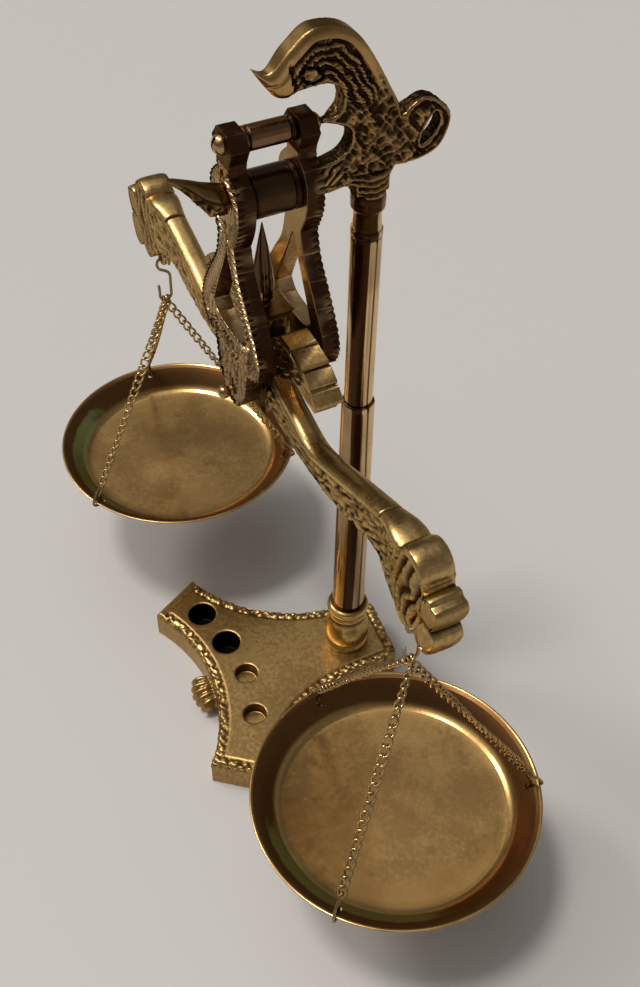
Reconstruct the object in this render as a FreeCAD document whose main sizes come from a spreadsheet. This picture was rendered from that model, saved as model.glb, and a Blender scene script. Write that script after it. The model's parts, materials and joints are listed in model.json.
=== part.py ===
import FreeCAD, Part
import math
import os

import Sketcher

"""Brass table balance: an arm on a turned column carries a yoke, and a beam with two pans.

Frame: millimetres, +Z up, the origin on the column's axis where the base rests.
+X runs along the level beam to the right pan, -Y is the side the yoke hangs on.
"""

PARTS_FOLDER = "parts"

DIMENSIONS = {
    # base plate
    "base_height": 9.7,
    "base_turn": -6.07,
    "front_corner_across": 29.8,
    "front_corner_forward": 54.7,
    "side_corner_across": 39.8,
    "side_corner_forward": 39.5,
    "front_edge_radius": 52.5,
    "side_edge_radius": 46,
    "neck_across": 13.3,
    "neck_forward": 2.6,
    "tail_across": 12.2,
    "tail_back": 10.2,
    "tail_end_across": 9.4,
    "tail_end_back": 13.2,
    "tail_edge_radius": 4,
    "shell_across": 2.5,
    "shell_width": 11,
    "shell_forward": 52.6,
    "shell_depth": 12.6,
    "shell_bottom": 1.6,
    "shell_top": 8.6,
    "big_hole_radius": 4.4,
    "big_hole_depth": 8,
    "small_hole_radius": 3.45,
    "small_hole_depth": 3.7,
    # column
    "stud_radius": 2,
    "stud_engagement": 6,
    "foot_top": 28.3,
    "foot_ring_radius": 6.1,
    "foot_neck_radius": 5.2,
    "foot_bulb_radius": 6.8,
    "lower_column_top": 112,
    "lower_column_bottom_radius": 4.9,
    "lower_column_top_radius": 4.4,
    "upper_column_top": 164,
    "upper_column_radius": 3.8,
    "neck_top": 175.6,
    "neck_waist_radius": 3.35,
    "neck_collar_radius": 3.9,
    # head bracket and arm
    "head_thickness": 5.4,
    "stem_radius": 4.3,
    "arm_shoulder_y": -14.4,
    "spur_tip_y": -12.6,
    "arm_height": 182.5,
    "arm_stud_radius": 2.5,
    "arm_stud_inner_y": -8,
    "arm_stud_outer_y": -39.4,
    "finial_thickness": 6.2,
    # yoke
    "yoke_y": -25.2,
    "yoke_half_gap": 6,
    "plate_thickness": 4.5,
    "running_clearance": 0.06,
    "sleeve_radius": 5.45,
    "spacer_height": 196.3,
    "spacer_radius": 2.8,
    "screw_head_radius": 2.2,
    "screw_head_height": 1.5,
    "screw_shank_radius": 1.3,
    "screw_slot": 0.7,
    "screw_gap": 0.5,
    "pivot_height": 129,
    "pivot_radius": 1,
    "pivot_nut_radius": 1.7,
    # beam
    "beam_thickness": 6,
    "block_thickness": 8,
    "block_half_width": 4.5,
    "block_top": 152,
    "block_bottom": 121.5,
    "scroll_thickness": 9.4,
    "pointer_top": 174.8,
    "pointer_forward": 1.5,
    "pointer_radius": 2.6,
    "pointer_foot_radius": 1.7,
    "pointer_ring_radius": 2.3,
    "pointer_tip_radius": 0.25,
    "pointer_bulge_radius": 24,
    "eye_across": 73.6,
    "eye_height": 117.7,
    "eye_ring_radius": 2,
    "eye_wire_radius": 0.7,
    # hooks, chains and pans
    "hook_wire_radius": 0.4,
    "hook_upper_radius": 1.6,
    "hook_lower_radius": 1.9,
    "hook_top": 117,
    "hook_crossing": 110.3,
    "hook_bottom": 102,
    "hook_upper_end": 2.2,
    "hook_lower_end": 2.6,
    "rim_height": 45,
    "pan_radius": 38,
    "pan_floor_radius": 29.5,
    "pan_depth": 7.4,
    "pan_wall": 0.8,
    "pan_bend_radius": 14,
    "rim_hole_radius": 0.75,
    "rim_hole_inset": 1.1,
    "rim_hole_drop": 2.3,
    "ring_radius": 2.6,
    "ring_inset": 0.6,
    "ring_lift": 0.25,
    "ring_wire_radius": 0.35,
    "chain_radius": 1,
    "chain_gap": 1.9,
    "left_chain_turn": 54,
    "right_chain_turn": 68,
}

# Weight holes in the base: distance across and forward from the column, and which size.
WEIGHT_HOLES = {
    "one": (-24.7, 40.7, "big"),
    "two": (-11.2, 36.8, "big"),
    "three": (2.5, 34.6, "small"),
    "four": (17.7, 36.9, "small"),
}

# Outlines are lists of smooth runs; a run of two points is straight.  Bracket: (y, z).
CREST = [(-28.7, 211.5), (-25, 210.1), (-20.6, 214.5), (-14.7, 218.1), (-5.2, 214.8), (4.2, 199.4),
         (6.3, 193.8)]
HANDLE = [(6.3, 193.8), (12.3, 196.7), (17.6, 193.4), (19.3, 189.4), (16.9, 183.6), (11.4, 181.4),
          (5.4, 181.7)]
THROAT = [(-9.2, 197.9), (-8.3, 201.6), (-11.5, 205.2), (-18, 205.2), (-24, 206.3), (-28.7, 211.5)]
ARM_HOLLOW = [(-11.1, 186.8), (-6.8, 188.4), (-6, 192.9), (-9.4, 194.7)]
HANDLE_HOLE = [(14.9, 192.7), (16.2, 189.8), (14.4, 186.6), (11.9, 185.2), (12.4, 188.6), (14.9, 192.7)]

# Finial on the end of the spindle, top edge and under edge, from the plate to the tip: (y, z).
FINIAL_TOP = [(-35.7, 187.2), (-38.4, 187.9), (-42.9, 189.7), (-48.2, 191.6)]
FINIAL_UNDER = [(-48.5, 190.9), (-45.4, 187.6), (-42.4, 182.4), (-39.4, 179.4), (-35.7, 178.6)]

# Yoke plate, right half, from the head down to the foot: (x, z).
PLATE_HEAD = [(0, 199.4), (2.6, 199.4), (5, 196.3), (3.2, 192.6), (2.9, 190.2)]
PLATE_BOSS = [(2.9, 190.2), (6.6, 186.4), (7.4, 182), (6.6, 177.5), (4.2, 172.4)]
PLATE_LEG = [(4.2, 172.4), (6, 166), (10.2, 159.6), (14.6, 152.4), (16.4, 146.6), (14.6, 141.8)]
PLATE_FOOT = [(14.6, 141.8), (11.6, 140.8), (9, 139.3), (7.7, 133), (5.7, 129.4), (3, 126), (0, 124.9)]
PLATE_OPENING = [(0, 170.2), (2.4, 165), (6.8, 156), (9.2, 150.4), (6.2, 147.8), (0, 147.2)]

# Beam, right half: wing, arm and scroll end: (x, z).
WING = [(4, 142), (8, 149), (13.6, 152.8), (18.4, 152.6), (24.6, 151), (28.6, 148.4), (31.8, 145),
        (30, 141.6), (21, 141.8), (12, 137.6), (4, 134)]
ARM_TOP = [(3, 139), (9, 134), (16.4, 130.6), (26.1, 128.4), (37, 131.2), (53.4, 137), (66, 140.6),
           (71, 139.2)]
ARM_BOTTOM = [(66.4, 121.6), (62, 126.6), (52.5, 126), (40.5, 122.8), (26, 121.4), (12, 122.6), (3, 125)]
LOBES = [(75.2, 137.1, 5.4), (82.1, 131.3, 5), (81.4, 122.9, 5)]
SCROLL_HEEL = (72.6, 125, 6.6)

doc = FreeCAD.newDocument("BrassBalance")
sheet = doc.addObject("Spreadsheet::Sheet", "dims")


def fill_sheet():
    """Give every driving dimension a cell and a name."""
    for row, (name, value) in enumerate(DIMENSIONS.items(), start=1):
        sheet.set("A%d" % row, name)
        sheet.set("B%d" % row, str(value))
        sheet.setAlias("B%d" % row, name)
    doc.recompute()


def size(name):
    """Read one driving dimension from the sheet."""
    return float(getattr(sheet, name))


def value(formula):
    """Work out a formula that names cells of the sheet."""
    return float(sheet.evalExpression(formula.replace("dims.", "")))


def vector(x, y, z):
    return FreeCAD.Vector(x, y, z)


# ---------------------------------------------------------------- building blocks

def bind(item, **formulas):
    """Bind properties of an object to formulas of the sheet."""
    for name, formula in formulas.items():
        item.setExpression(name, formula)


def bind_place(item, x="0", y="0", z="0"):
    """Bind where an object sits."""
    item.setExpression("Placement.Base.x", x)
    item.setExpression("Placement.Base.y", y)
    item.setExpression("Placement.Base.z", z)


def plane_of(body, role):
    for feature in body.Origin.OriginFeatures:
        if feature.Role == role:
            return feature
    raise ValueError(role)


def arc_between(start, end, radius):
    """An arc that bulges to the left of start to end for a positive radius, else to the right.

    It is always drawn anticlockwise, the only way a sketch keeps it.
    """
    chord = end - start
    left = vector(-chord.y, chord.x, 0).normalize()
    half = chord.Length / 2
    rise = abs(radius) - math.sqrt(radius * radius - half * half)
    middle = (start + end) * 0.5 + left * math.copysign(rise, radius)
    if radius > 0:
        return Part.Arc(end, middle, start)
    return Part.Arc(start, middle, end)


def outline_sketch(body, role, steps):
    """A closed sketch on one of the body's planes, every corner bound to the sheet.

    Each step is (across, up, radius): two formulas, and the radius formula of the arc
    that leaves the corner, or None for a straight side.
    """
    sketch = body.newObject("Sketcher::SketchObject", body.Name + "Outline")
    sketch.AttachmentSupport = [(plane_of(body, role), "")]
    sketch.MapMode = "FlatFace"
    corners = [vector(value(across), value(up), 0) for across, up, radius in steps]
    for index, (across, up, radius) in enumerate(steps):
        start = corners[index]
        end = corners[(index + 1) % len(corners)]
        if radius is None:
            sketch.addGeometry(Part.LineSegment(start, end), False)
        else:
            sketch.addGeometry(arc_between(start, end, value(radius)), False)
    tips = [end_points(sketch, index, corners) for index in range(len(steps))]
    for index, (across, up, radius) in enumerate(steps):
        following = (index + 1) % len(steps)
        meeting = Sketcher.Constraint("Coincident", index, tips[index][1], following, tips[following][0])
        sketch.addConstraint(meeting)
        pin_corner(sketch, index, tips[index][0], corners[index], across, up)
        if radius is not None:
            number = sketch.addConstraint(Sketcher.Constraint("Radius", index, abs(value(radius))))
            sketch.setExpression("Constraints[%d]" % number, "abs(%s)" % radius)
    return sketch


def end_points(sketch, index, corners):
    """Which end of a side is its start: a sketch may store an arc the other way round."""
    side = sketch.Geometry[index]
    start = corners[index]
    if side.StartPoint.distanceToPoint(start) < side.EndPoint.distanceToPoint(start):
        return (1, 2)
    return (2, 1)


def pin_corner(sketch, index, tip, corner, across, up):
    """Hold one corner at the place the sheet gives it."""
    number = sketch.addConstraint(Sketcher.Constraint("DistanceX", -1, 1, index, tip, corner.x))
    sketch.setExpression("Constraints[%d]" % number, across)
    number = sketch.addConstraint(Sketcher.Constraint("DistanceY", -1, 1, index, tip, corner.y))
    sketch.setExpression("Constraints[%d]" % number, up)


def new_body(name):
    body = doc.addObject("PartDesign::Body", name)
    body.Label = name
    return body


def turned(name, steps):
    """A body turned about Z from a half profile of (radius, height, arc radius) formulas."""
    body = new_body(name)
    sketch = outline_sketch(body, "XZ_Plane", steps)
    doc.recompute()
    revolution = body.newObject("PartDesign::Revolution", name + "Turn")
    revolution.Profile = sketch
    revolution.ReferenceAxis = (sketch, ["V_Axis"])
    revolution.Angle = 360
    doc.recompute()
    return body


def cylinder(name, radius, length, x="0", y="0", z="0", along_y=False):
    """A Part cylinder with its sizes and its start bound to the sheet."""
    item = doc.addObject("Part::Cylinder", name)
    item.Label = name
    if along_y:
        item.Placement.Rotation = FreeCAD.Rotation(vector(1, 0, 0), 90)
    bind(item, Radius=radius, Height=length)
    bind_place(item, x, y, z)
    return item


def bored(name, solid, holes):
    """A solid with holes cut through it, one after another."""
    for index, hole in enumerate(holes):
        last = index == len(holes) - 1
        cut = doc.addObject("Part::Cut", name if last else "%s_step_%d" % (name, index))
        cut.Base = solid
        cut.Tool = hole
        solid = cut
    solid.Label = name
    return solid


def shaped(name, shape):
    """A sub-part whose outline is too free for a sketch."""
    item = doc.addObject("Part::Feature", name)
    item.Label = name
    item.Shape = shape
    return item


def smooth_run(points):
    """A straight edge between two points, or one smooth curve through more."""
    if len(points) == 2:
        return Part.LineSegment(points[0], points[1]).toShape()
    curve = Part.BSplineCurve()
    curve.interpolate(points)
    return curve.toShape()


def slab(runs, to_space, thickness, normal):
    """A plate of even thickness, centred on the plane its outline runs are drawn in."""
    edges = [smooth_run([to_space(*point) for point in run]) for run in runs]
    face = Part.Face(Part.Wire(edges))
    face.translate(normal * (-thickness / 2))
    return face.extrude(normal * thickness)


def mirrored(run):
    """The same run on the other side of x = 0, walked the other way."""
    return [(-x, z) for x, z in reversed(run)]


def corners_as_runs(points):
    return [[first, second] for first, second in zip(points, points[1:])]


def upright(across, height):
    """A point of a beam or yoke outline, in the yoke's middle plane."""
    return vector(across, size("yoke_y"), height)


# ---------------------------------------------------------------- stand

def base_plate():
    """Three-lobed cast plate with a cast shell in front and four blind weight holes."""
    body = new_body("base_plate_blank")
    front_radius = "dims.front_edge_radius"
    side_radius = "dims.side_edge_radius"
    sketch = outline_sketch(body, "XY_Plane", [
        ("-dims.front_corner_across", "-dims.front_corner_forward", front_radius),
        ("dims.front_corner_across", "-dims.front_corner_forward", None),
        ("dims.side_corner_across", "-dims.side_corner_forward", side_radius),
        ("dims.neck_across", "-dims.neck_forward", None),
        ("dims.tail_across", "dims.tail_back", "-dims.tail_edge_radius"),
        ("dims.tail_end_across", "dims.tail_end_back", None),
        ("-dims.tail_end_across", "dims.tail_end_back", "-dims.tail_edge_radius"),
        ("-dims.tail_across", "dims.tail_back", None),
        ("-dims.neck_across", "-dims.neck_forward", side_radius),
        ("-dims.side_corner_across", "-dims.side_corner_forward", None),
    ])
    pad = body.newObject("PartDesign::Pad", "BasePad")
    pad.Profile = sketch
    bind(pad, Length="dims.base_height")
    doc.recompute()
    shell = doc.addObject("Part::Box", "front_shell")
    bind(shell, Length="dims.shell_width", Width="dims.shell_depth",
         Height="dims.shell_top - dims.shell_bottom")
    bind_place(shell, "dims.shell_across - dims.shell_width / 2", "-dims.shell_forward", "dims.shell_bottom")
    blank = doc.addObject("Part::Fuse", "base_with_shell")
    blank.Base = body
    blank.Tool = shell
    holes = [cylinder("stud_hole", "dims.stud_radius", "dims.base_height",
                      z="dims.base_height - dims.stud_engagement")]
    for name, (across, forward, kind) in WEIGHT_HOLES.items():
        holes.append(cylinder("weight_hole_" + name, "dims.%s_hole_radius" % kind, "dims.base_height",
                              x=str(across), y=str(-forward),
                              z="dims.base_height - dims.%s_hole_depth" % kind))
    plate = bored("base_plate", blank, holes)
    plate.setExpression("Placement.Rotation.Angle", "dims.base_turn")
    return plate


def column_foot():
    """Turned foot: bulb, neck and rings, bored for the stud."""
    bore = "dims.stud_radius"
    bottom = "dims.base_height"
    return turned("column_foot", [
        (bore, bottom, None),
        ("dims.foot_bulb_radius - 0.6", bottom, None),
        ("dims.foot_bulb_radius - 0.6", bottom + " + 1.2", None),
        ("dims.foot_bulb_radius - 1.2", bottom + " + 2.2", "-4.6"),
        ("dims.foot_neck_radius", bottom + " + 10.6", None),
        ("dims.foot_neck_radius + 0.6", bottom + " + 11.6", None),
        ("dims.foot_neck_radius", bottom + " + 12.6", None),
        ("dims.foot_neck_radius", bottom + " + 14.6", None),
        ("dims.foot_ring_radius", bottom + " + 15.6", None),
        ("dims.foot_ring_radius", "dims.foot_top", None),
        (bore, "dims.foot_top", None),
    ])


def lower_column():
    """Tapered rod, threaded at both ends for the studs."""
    rod = doc.addObject("Part::Cone", "lower_rod")
    bind(rod, Radius1="dims.lower_column_bottom_radius", Radius2="dims.lower_column_top_radius",
         Height="dims.lower_column_top - dims.foot_top")
    bind_place(rod, z="dims.foot_top")
    depth = "2 * dims.stud_engagement"
    bottom = cylinder("lower_rod_bottom_hole", "dims.stud_radius", depth, z="dims.foot_top")
    top = cylinder("lower_rod_top_hole", "dims.stud_radius", depth,
                   z="dims.lower_column_top - 2 * dims.stud_engagement")
    return bored("lower_column", rod, [bottom, top])


def upper_column():
    rod = cylinder("upper_rod", "dims.upper_column_radius", "dims.upper_column_top - dims.lower_column_top",
                   z="dims.lower_column_top")
    depth = "2 * dims.stud_engagement"
    bottom = cylinder("upper_rod_bottom_hole", "dims.stud_radius", depth, z="dims.lower_column_top")
    top = cylinder("upper_rod_top_hole", "dims.stud_radius", depth,
                   z="dims.upper_column_top - 2 * dims.stud_engagement")
    return bored("upper_column", rod, [bottom, top])


def column_neck():
    """Turned neck under the bracket: bead, waist and collar."""
    bore = "dims.stud_radius"
    bottom = "dims.upper_column_top"
    return turned("column_neck", [
        (bore, bottom, None),
        ("dims.neck_collar_radius", bottom, None),
        ("dims.neck_collar_radius", bottom + " + 1.8", None),
        ("dims.neck_waist_radius", bottom + " + 3.4", None),
        ("dims.neck_waist_radius", bottom + " + 6.8", None),
        ("dims.neck_collar_radius", bottom + " + 8", None),
        ("dims.neck_collar_radius", "dims.neck_top", None),
        (bore, "dims.neck_top", None),
    ])


def studs():
    """Three threaded studs that hold the column together, all inside it."""
    reach = "2 * dims.stud_engagement"
    cylinder("foot_stud", "dims.stud_radius", "dims.foot_top - dims.base_height + 3 * dims.stud_engagement",
             z="dims.base_height - dims.stud_engagement")
    cylinder("column_stud", "dims.stud_radius", "4 * dims.stud_engagement",
             z="dims.lower_column_top - " + reach)
    cylinder("head_stud", "dims.stud_radius",
             "dims.neck_top - dims.upper_column_top + 3 * dims.stud_engagement",
             z="dims.upper_column_top - " + reach)


def head_bracket():
    """Cast arm in the shape of a bird's head and neck, with a loop behind and a stem below."""
    shoulder = size("arm_shoulder_y")
    spur = size("spur_tip_y")
    seat = size("neck_top")
    runs = [CREST, HANDLE]
    runs += corners_as_runs([HANDLE[-1], (4.2, seat), (-4.2, seat), (-4.6, 178.6), (-7.2, 179.8),
                             (shoulder, 179), (shoulder, 186.4), ARM_HOLLOW[0]])
    runs.append(ARM_HOLLOW)
    runs += corners_as_runs([ARM_HOLLOW[-1], (spur, 195.2), (spur, 196.8), THROAT[0]])
    runs.append(THROAT)
    flat = slab(runs, lambda y, z: vector(0, y, z), size("head_thickness"), vector(1, 0, 0))
    hole = slab([HANDLE_HOLE], lambda y, z: vector(0, y, z), 3 * size("head_thickness"), vector(1, 0, 0))
    stem = Part.makeCylinder(size("stem_radius"), HANDLE[-1][1] - seat, vector(0, 0, seat))
    stud_hole = Part.makeCylinder(size("stud_radius"), size("stud_engagement"), vector(0, 0, seat))
    arm_hole = Part.makeCylinder(size("arm_stud_radius"), size("arm_stud_inner_y") - shoulder,
                                 vector(0, shoulder, size("arm_height")), vector(0, 1, 0))
    return shaped("head_bracket", flat.cut(hole).fuse(stem).cut(stud_hole).cut(arm_hole))


def arm_stud():
    """Plain spindle that the yoke swings on, screwed into the bracket."""
    cylinder("arm_stud", "dims.arm_stud_radius", "dims.arm_stud_inner_y - dims.arm_stud_outer_y",
             y="dims.arm_stud_inner_y", z="dims.arm_height", along_y=True)


def arm_finial():
    """Horn-shaped nut on the end of the spindle, curling up to a point."""
    runs = [FINIAL_TOP, [FINIAL_TOP[-1], FINIAL_UNDER[0]], FINIAL_UNDER, [FINIAL_UNDER[-1], FINIAL_TOP[0]]]
    horn = slab(runs, lambda y, z: vector(0, y, z), size("finial_thickness"), vector(1, 0, 0))
    end = size("arm_stud_outer_y")
    hole = Part.makeCylinder(size("arm_stud_radius"), FINIAL_TOP[0][0] - end,
                             vector(0, end, size("arm_height")), vector(0, 1, 0))
    return shaped("arm_finial", horn.cut(hole))


# ---------------------------------------------------------------- yoke

def yoke_plate(name, side):
    """One cast cheek of the yoke; side is -1 in front and 1 behind."""
    half = corners_as_runs(PLATE_HEAD[:2]) + [PLATE_HEAD[1:], PLATE_BOSS, PLATE_LEG]
    half += corners_as_runs(PLATE_FOOT[:3]) + [PLATE_FOOT[2:]]
    runs = half + [mirrored(run) for run in reversed(half)]
    thickness = size("plate_thickness")
    plate = slab(runs, upright, thickness, vector(0, 1, 0))
    opening = [PLATE_OPENING[:3], PLATE_OPENING[2:]]
    opening += [mirrored(run) for run in reversed(opening)]
    plate = plate.cut(slab(opening, upright, 2 * thickness, vector(0, 1, 0)))
    start = size("yoke_y") - thickness
    arm_radius = size("arm_stud_radius") + size("running_clearance")
    for height, radius in ((size("arm_height"), arm_radius), (size("pivot_height"), size("pivot_radius")),
                           (size("spacer_height"), size("screw_shank_radius"))):
        plate = plate.cut(Part.makeCylinder(radius, 2 * thickness, vector(0, start, height), vector(0, 1, 0)))
    plate.translate(vector(0, side * (size("yoke_half_gap") + thickness / 2), 0))
    return shaped(name, plate)


def yoke_tubes():
    """The sleeve round the spindle and the spacer between the plate heads."""
    length = "2 * dims.yoke_half_gap"
    start = "dims.yoke_y + dims.yoke_half_gap"
    sleeve = cylinder("sleeve_blank", "dims.sleeve_radius", length, y=start, z="dims.arm_height",
                      along_y=True)
    hole = cylinder("sleeve_hole", "dims.arm_stud_radius + dims.running_clearance", length, y=start,
                    z="dims.arm_height", along_y=True)
    bored("arm_sleeve", sleeve, [hole])
    spacer = cylinder("spacer_blank", "dims.spacer_radius", length, y=start, z="dims.spacer_height",
                      along_y=True)
    hole = cylinder("spacer_hole", "dims.screw_shank_radius", length, y=start, z="dims.spacer_height",
                    along_y=True)
    bored("yoke_spacer", spacer, [hole])


def dome(radius, height, side, across, level):
    """A domed head that sits on a yoke plate's outer face."""
    face = size("yoke_half_gap") + size("plate_thickness")
    sphere_radius = (radius * radius + height * height) / (2 * height)
    centre = vector(across, size("yoke_y") + side * (face + height - sphere_radius), level)
    ball = Part.makeSphere(sphere_radius, centre)
    keep = Part.makeBox(4 * radius, height + 1, 4 * radius,
                        vector(across - 2 * radius, 0, level - 2 * radius))
    start = face if side > 0 else -face - height - 1
    keep.translate(vector(0, size("yoke_y") + start, 0))
    return ball.common(keep)


def yoke_screws():
    """Two slotted screws that hold the plates to the spacer, one from each side."""
    gap = size("screw_gap")
    slot_width = size("screw_slot")
    slot_length = 3 * size("screw_head_radius")
    reach = size("yoke_half_gap") + size("plate_thickness")
    slot_level = reach + size("screw_head_height") - slot_width / 2
    screws = []
    for side in (-1, 1):
        head = dome(size("screw_head_radius"), size("screw_head_height"), side, 0, size("spacer_height"))
        slot = Part.makeBox(slot_width, slot_width, slot_length,
                            vector(-slot_width / 2, size("yoke_y") + side * slot_level - slot_width / 2,
                                   size("spacer_height") - slot_length / 2))
        shank = Part.makeCylinder(size("screw_shank_radius"), reach - gap,
                                  vector(0, size("yoke_y") + side * gap, size("spacer_height")),
                                  vector(0, side, 0))
        screws.append(head.cut(slot).fuse(shank))
    return shaped("yoke_screws", Part.makeCompound(screws))


def pivot_pin():
    reach = "dims.yoke_half_gap + dims.plate_thickness"
    cylinder("pivot_pin", "dims.pivot_radius", "2 * (%s)" % reach, y="dims.yoke_y + " + reach,
             z="dims.pivot_height", along_y=True)


def pivot_nuts():
    """Two ball nuts, one on each end of the pivot pin."""
    radius = size("pivot_nut_radius")
    nuts = [dome(0.9 * radius, 1.5 * radius, side, 0, size("pivot_height")) for side in (-1, 1)]
    return shaped("pivot_nuts", Part.makeCompound(nuts))


# ---------------------------------------------------------------- beam

def disc(across, height, radius, thickness):
    start = vector(across, size("yoke_y") - thickness / 2, height)
    return Part.makeCylinder(radius, thickness, start, vector(0, 1, 0))


def beam_half():
    """The right half of the beam: leaf wing, swan arm, scroll end and hanging eye."""
    along_y = vector(0, 1, 0)
    arm_runs = [ARM_TOP, [ARM_TOP[-1], ARM_BOTTOM[0]], ARM_BOTTOM, [ARM_BOTTOM[-1], ARM_TOP[0]]]
    half = slab(arm_runs, upright, size("beam_thickness"), along_y)
    wing = slab(corners_as_runs(WING + WING[:1]), upright, size("beam_thickness"), along_y)
    solids = [wing]
    for across, height, radius in LOBES:
        solids.append(disc(across, height, radius, size("scroll_thickness")))
    solids.append(disc(*SCROLL_HEEL, size("beam_thickness") + 1.4))
    solids.append(Part.makeTorus(size("eye_ring_radius"), size("eye_wire_radius"),
                                 vector(size("eye_across"), size("yoke_y"), size("eye_height")), along_y))
    return half.multiFuse(solids)


def beam():
    """The whole casting, bored for the pivot pin."""
    right = beam_half()
    left = right.mirror(vector(0, 0, 0), vector(1, 0, 0))
    block = Part.makeBox(2 * size("block_half_width"), size("block_thickness"),
                         size("block_top") - size("block_bottom"),
                         vector(-size("block_half_width"), size("yoke_y") - size("block_thickness") / 2,
                                size("block_bottom")))
    whole = block.multiFuse([right, left])
    hole_radius = size("pivot_radius") + size("running_clearance")
    hole = disc(0, size("pivot_height"), hole_radius, 1.5 * size("block_thickness"))
    return shaped("beam", whole.cut(hole))


def pointer():
    """Turned needle that stands on the beam's block, with a foot ring."""
    body = turned("pointer", [
        ("0", "dims.block_top", None),
        ("dims.pointer_foot_radius", "dims.block_top", None),
        ("dims.pointer_foot_radius", "dims.block_top + 1.6", None),
        ("dims.pointer_ring_radius", "dims.block_top + 2.4", None),
        ("dims.pointer_ring_radius", "dims.block_top + 3.4", None),
        ("dims.pointer_radius", "dims.block_top + 8", "-dims.pointer_bulge_radius"),
        ("dims.pointer_tip_radius", "dims.pointer_top", None),
        ("0", "dims.pointer_top", None),
    ])
    bind_place(body, y="dims.yoke_y - dims.pointer_forward")
    return body


# ---------------------------------------------------------------- hooks and pans

def hook(name, side):
    """An S of wire in the Y-Z plane: the upper loop in the beam's eye, the lower one for the chains."""
    upper = size("hook_upper_radius")
    lower = size("hook_lower_radius")
    top = size("hook_top") - upper
    bottom = size("hook_bottom") + lower
    crossing = size("hook_crossing")
    start = top - size("hook_upper_end")

    def place(y, z):
        return vector(side * size("eye_across"), size("yoke_y") + y, z)

    def bend(y, z, radius, first, last):
        angles = [math.radians(first), math.radians((first + last) / 2), math.radians(last)]
        points = [place(y + radius * math.cos(a), z + radius * math.sin(a)) for a in angles]
        return Part.Arc(*points).toShape()

    def straight(y, low, high):
        return Part.LineSegment(place(y, low), place(y, high)).toShape()

    path = Part.Wire([
        straight(upper, start, top),
        bend(0, top, upper, 0, 180),
        straight(-upper, top, crossing + upper),
        bend(0, crossing + upper, upper, 180, 270),
        bend(0, crossing - lower, lower, 90, 0),
        straight(lower, crossing - lower, bottom),
        bend(0, bottom, lower, 0, -180),
        straight(-lower, bottom, bottom + size("hook_lower_end")),
    ])
    section = Part.Wire(Part.makeCircle(size("hook_wire_radius"), place(upper, start), vector(0, 0, 1)))
    return shaped(name, path.makePipeShell([section], True, False))


def pan_placement(side):
    return vector(side * size("eye_across"), size("yoke_y"), 0)


def outward(angle):
    return vector(math.cos(math.radians(angle)), math.sin(math.radians(angle)), 0)


def pan(name, side, first_turn):
    """Spun dish: flat floor, curved wall and three small holes under the rim."""
    body = turned(name + "_blank", [
        ("0", "dims.rim_height - dims.pan_depth", None),
        ("dims.pan_floor_radius", "dims.rim_height - dims.pan_depth", "-dims.pan_bend_radius"),
        ("dims.pan_radius", "dims.rim_height", None),
        ("dims.pan_radius - dims.pan_wall", "dims.rim_height", "dims.pan_bend_radius"),
        ("dims.pan_floor_radius - 0.3", "dims.rim_height - dims.pan_depth + dims.pan_wall", None),
        ("0", "dims.rim_height - dims.pan_depth + dims.pan_wall", None),
    ])
    bind_place(body, "%d * dims.eye_across" % side, "dims.yoke_y")
    holes = []
    for index in range(3):
        hole = doc.addObject("Part::Cylinder", "%s_rim_hole_%d" % (name, index + 1))
        direction = outward(first_turn + 120 * index)
        hole.Placement.Rotation = FreeCAD.Rotation(vector(0, 0, 1), direction)
        bind(hole, Radius="dims.rim_hole_radius", Height="6")
        inset = "(dims.pan_radius - dims.rim_hole_inset - 3)"
        bind_place(hole, "%d * dims.eye_across + %.6f * %s" % (side, direction.x, inset),
                   "dims.yoke_y + %.6f * %s" % (direction.y, inset), "dims.rim_height - dims.rim_hole_drop")
        holes.append(hole)
    return bored(name, body, holes)


def ring_centre(side, angle):
    """Middle of a rim ring, just inside and above the rim."""
    radius = size("pan_radius") - size("ring_inset")
    lift = vector(0, 0, size("rim_height") + size("ring_lift"))
    return pan_placement(side) + outward(angle) * radius + lift


def chain_direction(side, angle):
    """From a rim ring towards the bottom of the hook."""
    apex = pan_placement(side) + vector(0, 0, size("hook_bottom"))
    return (apex - ring_centre(side, angle)).normalize()


def rim_ring(name, side, angle):
    """Wire ring through a rim hole, standing in the pan's radial plane."""
    ring = doc.addObject("Part::Torus", name)
    ring.Label = name
    bind(ring, Radius1="dims.ring_radius", Radius2="dims.ring_wire_radius")
    across = outward(angle + 90)
    ring.Placement = FreeCAD.Placement(ring_centre(side, angle), FreeCAD.Rotation(vector(0, 0, 1), across))
    return ring


def chain(name, side, angle):
    """A tight link chain from a rim ring to the hook, as one straight rod of its outer size."""
    direction = chain_direction(side, angle)
    centre = ring_centre(side, angle)
    apex = pan_placement(side) + vector(0, 0, size("hook_bottom") - 0.6)
    start = centre + direction * (size("ring_radius") + size("ring_wire_radius") + 0.1)
    length = (apex - start).Length - size("chain_gap")
    rod = doc.addObject("Part::Cylinder", name)
    rod.Label = name
    bind(rod, Radius="dims.chain_radius")
    rod.Height = length
    rod.Placement = FreeCAD.Placement(start, FreeCAD.Rotation(vector(0, 0, 1), apex - start))
    return rod


def hanging_side(word, side, first_turn):
    hook(word + "_hook", side)
    pan(word + "_pan", side, first_turn)
    for index in range(3):
        angle = first_turn + 120 * index
        rim_ring("%s_rim_ring_%d" % (word, index + 1), side, angle)
        chain("%s_chain_%d" % (word, index + 1), side, angle)


# ---------------------------------------------------------------- build and write

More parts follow.
